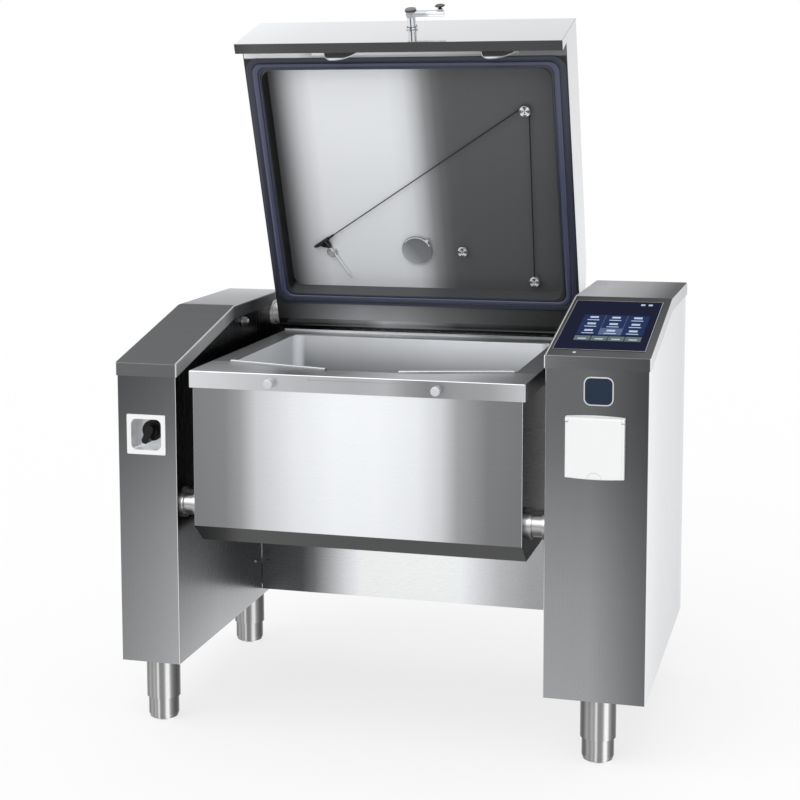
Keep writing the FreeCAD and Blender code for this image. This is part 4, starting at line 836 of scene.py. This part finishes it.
def makeDisplay(v):
    top, thick = v["glassTop"], v["thick"]
    left, right, low, high = v["glass"]
    trim = bmesh.new()
    wide = v["trim"]
    slopeTile(trim, left, right, low, low + wide, top, top + thick)
    slopeTile(trim, left, right, high - wide * 0.6, high, top, top + thick)
    slopeTile(trim, left, left + wide * 0.7, low + wide, high - wide * 0.6, top, top + thick)
    slopeTile(trim, right - wide * 0.7, right, low + wide, high - wide * 0.6, top, top + thick)
    addPiece("displayTrim", trim, plainFinish("trimSteel", grey(0.60), 0.3, 0.35), "stand")
    tiles, chosen, buttons, marks = bmesh.new(), bmesh.new(), bmesh.new(), bmesh.new()
    x0, x1, a0, a1 = v["tiles"]
    wide, tall = (x1 - x0) / 3, (a1 - a0) / 3
    for column in range(3):
        for row in range(3):
            left, right = x0 + column * wide + v["gap"] / 2, x0 + (column + 1) * wide - v["gap"] / 2
            low, high = a0 + row * tall + v["gap"] / 2, a0 + (row + 1) * tall - v["gap"] / 2
            slopeTile(chosen if (column, row) == (1, 0) else tiles, left, right, low, high, top, top + thick)
            mid = (left + right) / 2
            slopeTile(marks, mid - 0.010, mid + 0.010, low + 0.024, low + 0.037, top + thick, top + 2 * thick)
            slopeTile(marks, mid - 0.014, mid + 0.014, low + 0.007, low + 0.012, top + thick, top + 2 * thick)
    for k in (1, 2):
        edge = x0 + k * (x1 - x0) / 3
        slopeTile(buttons, edge - v["gap"] / 2, edge + v["gap"] / 2, a0, a1, top, top + thick)
    low, high = v["buttons"]
    wide = (x1 - x0) / 4
    for k in range(4):
        left = x0 + k * wide + 0.001
        slopeTile(buttons, left, left + wide - 0.002, low, high, top, top + thick)
        slopeTile(marks, left + 0.009, left + wide - 0.011, low + 0.008, low + 0.015, top + thick, top + 2 * thick)
    for x in (0.582, 0.600):
        slopeTile(marks, x - 0.005, x + 0.005, 0.380, 0.392, top, top + thick)
    addPiece("displayTiles", tiles, screenFinish("tileBlue", colour(0.16, 0.21, 0.36)), "stand")
    addPiece("displayChosen", chosen, screenFinish("tileChosen", colour(0.36, 0.41, 0.54)), "stand")
    addPiece("displayButtons", buttons, screenFinish("tileGrey", colour(0.40, 0.45, 0.46)), "stand")
    addPiece("displayMarks", marks, screenFinish("markWhite", colour(0.74, 0.79, 0.88)), "stand")
    lamp = bmesh.new()
    bmesh.ops.create_cone(lamp, cap_ends=True, segments=24, radius1=0.0045, radius2=0.0035, depth=0.0016)
    spot = slopePoint(0.470, 0.023, 0.0008)
    bmesh.ops.transform(lamp, matrix=Matrix.Translation(spot) @ Matrix.Rotation(slopeTilt, 4, "X"), verts=lamp.verts)
    smooth(addPiece("displayLamp", lamp, discSteel, "stand"))


makeDisplay(displayValues)


# Bare plate where the photograph has a badge
plateValues = {"middle": (0.529, 0.888), "size": (0.068, 0.066), "corner": 0.016, "rim": 0.003, "thick": 0.0022}


def roundedPlate(bm, middle, width, height, corner, y0, y1):
    x, z = middle
    ring = []
    for sx, sz, start in ((1, 1, 0), (-1, 1, 90), (-1, -1, 180), (1, -1, 270)):
        for k in range(9):
            turn = math.radians(start + 90 * k / 8)
            ring.append(bm.verts.new((x + sx * (width / 2 - corner) + corner * math.cos(turn), y1,
                                      z + sz * (height / 2 - corner) + corner * math.sin(turn))))
    face = bm.faces.new(ring)
    grown = bmesh.ops.extrude_face_region(bm, geom=[face])
    for vert in grown["geom"]:
        if isinstance(vert, bmesh.types.BMVert):
            vert.co.y = y0
    rim = [edge for edge in bm.edges if all(abs(vert.co.y - y0) < 1e-6 for vert in edge.verts)]
    bmesh.ops.bevel(bm, geom=rim, offset=0.0006, segments=2, profile=0.5, affect="EDGES", material=-1)


def makePlate(v):
    back = pillarFront
    width, height = v["size"]
    base = bmesh.new()
    roundedPlate(base, v["middle"], width, height, v["corner"], back - v["thick"], back)
    addPiece("plateRim", base, discSteel, "stand")
    inside = bmesh.new()
    roundedPlate(inside, v["middle"], width - 2 * v["rim"], height - 2 * v["rim"], v["corner"] - v["rim"],
                 back - v["thick"] - 0.0006, back - v["thick"])
    addPiece("plateField", inside, screenFinish("plateField", colour(0.17, 0.21, 0.27), 0.25), "stand")


makePlate(plateValues)
print("pieces ready")


# Floor

def makeFloor(v):
    mesh = bpy.data.meshes.new("floor")
    bm = bmesh.new()
    bmesh.ops.create_grid(bm, x_segments=1, y_segments=1, size=v["floorReach"])
    bm.to_mesh(mesh)
    bm.free()
    floor = bpy.data.objects.new("floor", mesh)
    bpy.context.scene.collection.objects.link(floor)
    material, tree, shader = newFinish("paleFloor", roughness=0.8, base=grey(v["floorTone"], 0.0))
    share = addNode(tree, "ShaderNodeMath", {"operation": "MULTIPLY"}, {1: v["floorWhite"]})
    tree.links.new(seenRays(tree), share.inputs[0])
    white = addNode(tree, "ShaderNodeEmission", None, {"Color": (1, 1, 1, 1), "Strength": 1.0})
    mix = addNode(tree, "ShaderNodeMixShader")
    tree.links.new(share.outputs[0], mix.inputs[0])
    tree.links.new(shader.outputs[0], mix.inputs[1])
    tree.links.new(white.outputs[0], mix.inputs[2])
    tree.links.new(mix.outputs[0], tree.nodes["Material Output"].inputs["Surface"])
    mesh.materials.append(material)


makeFloor(studioValues)

print("scene ready")
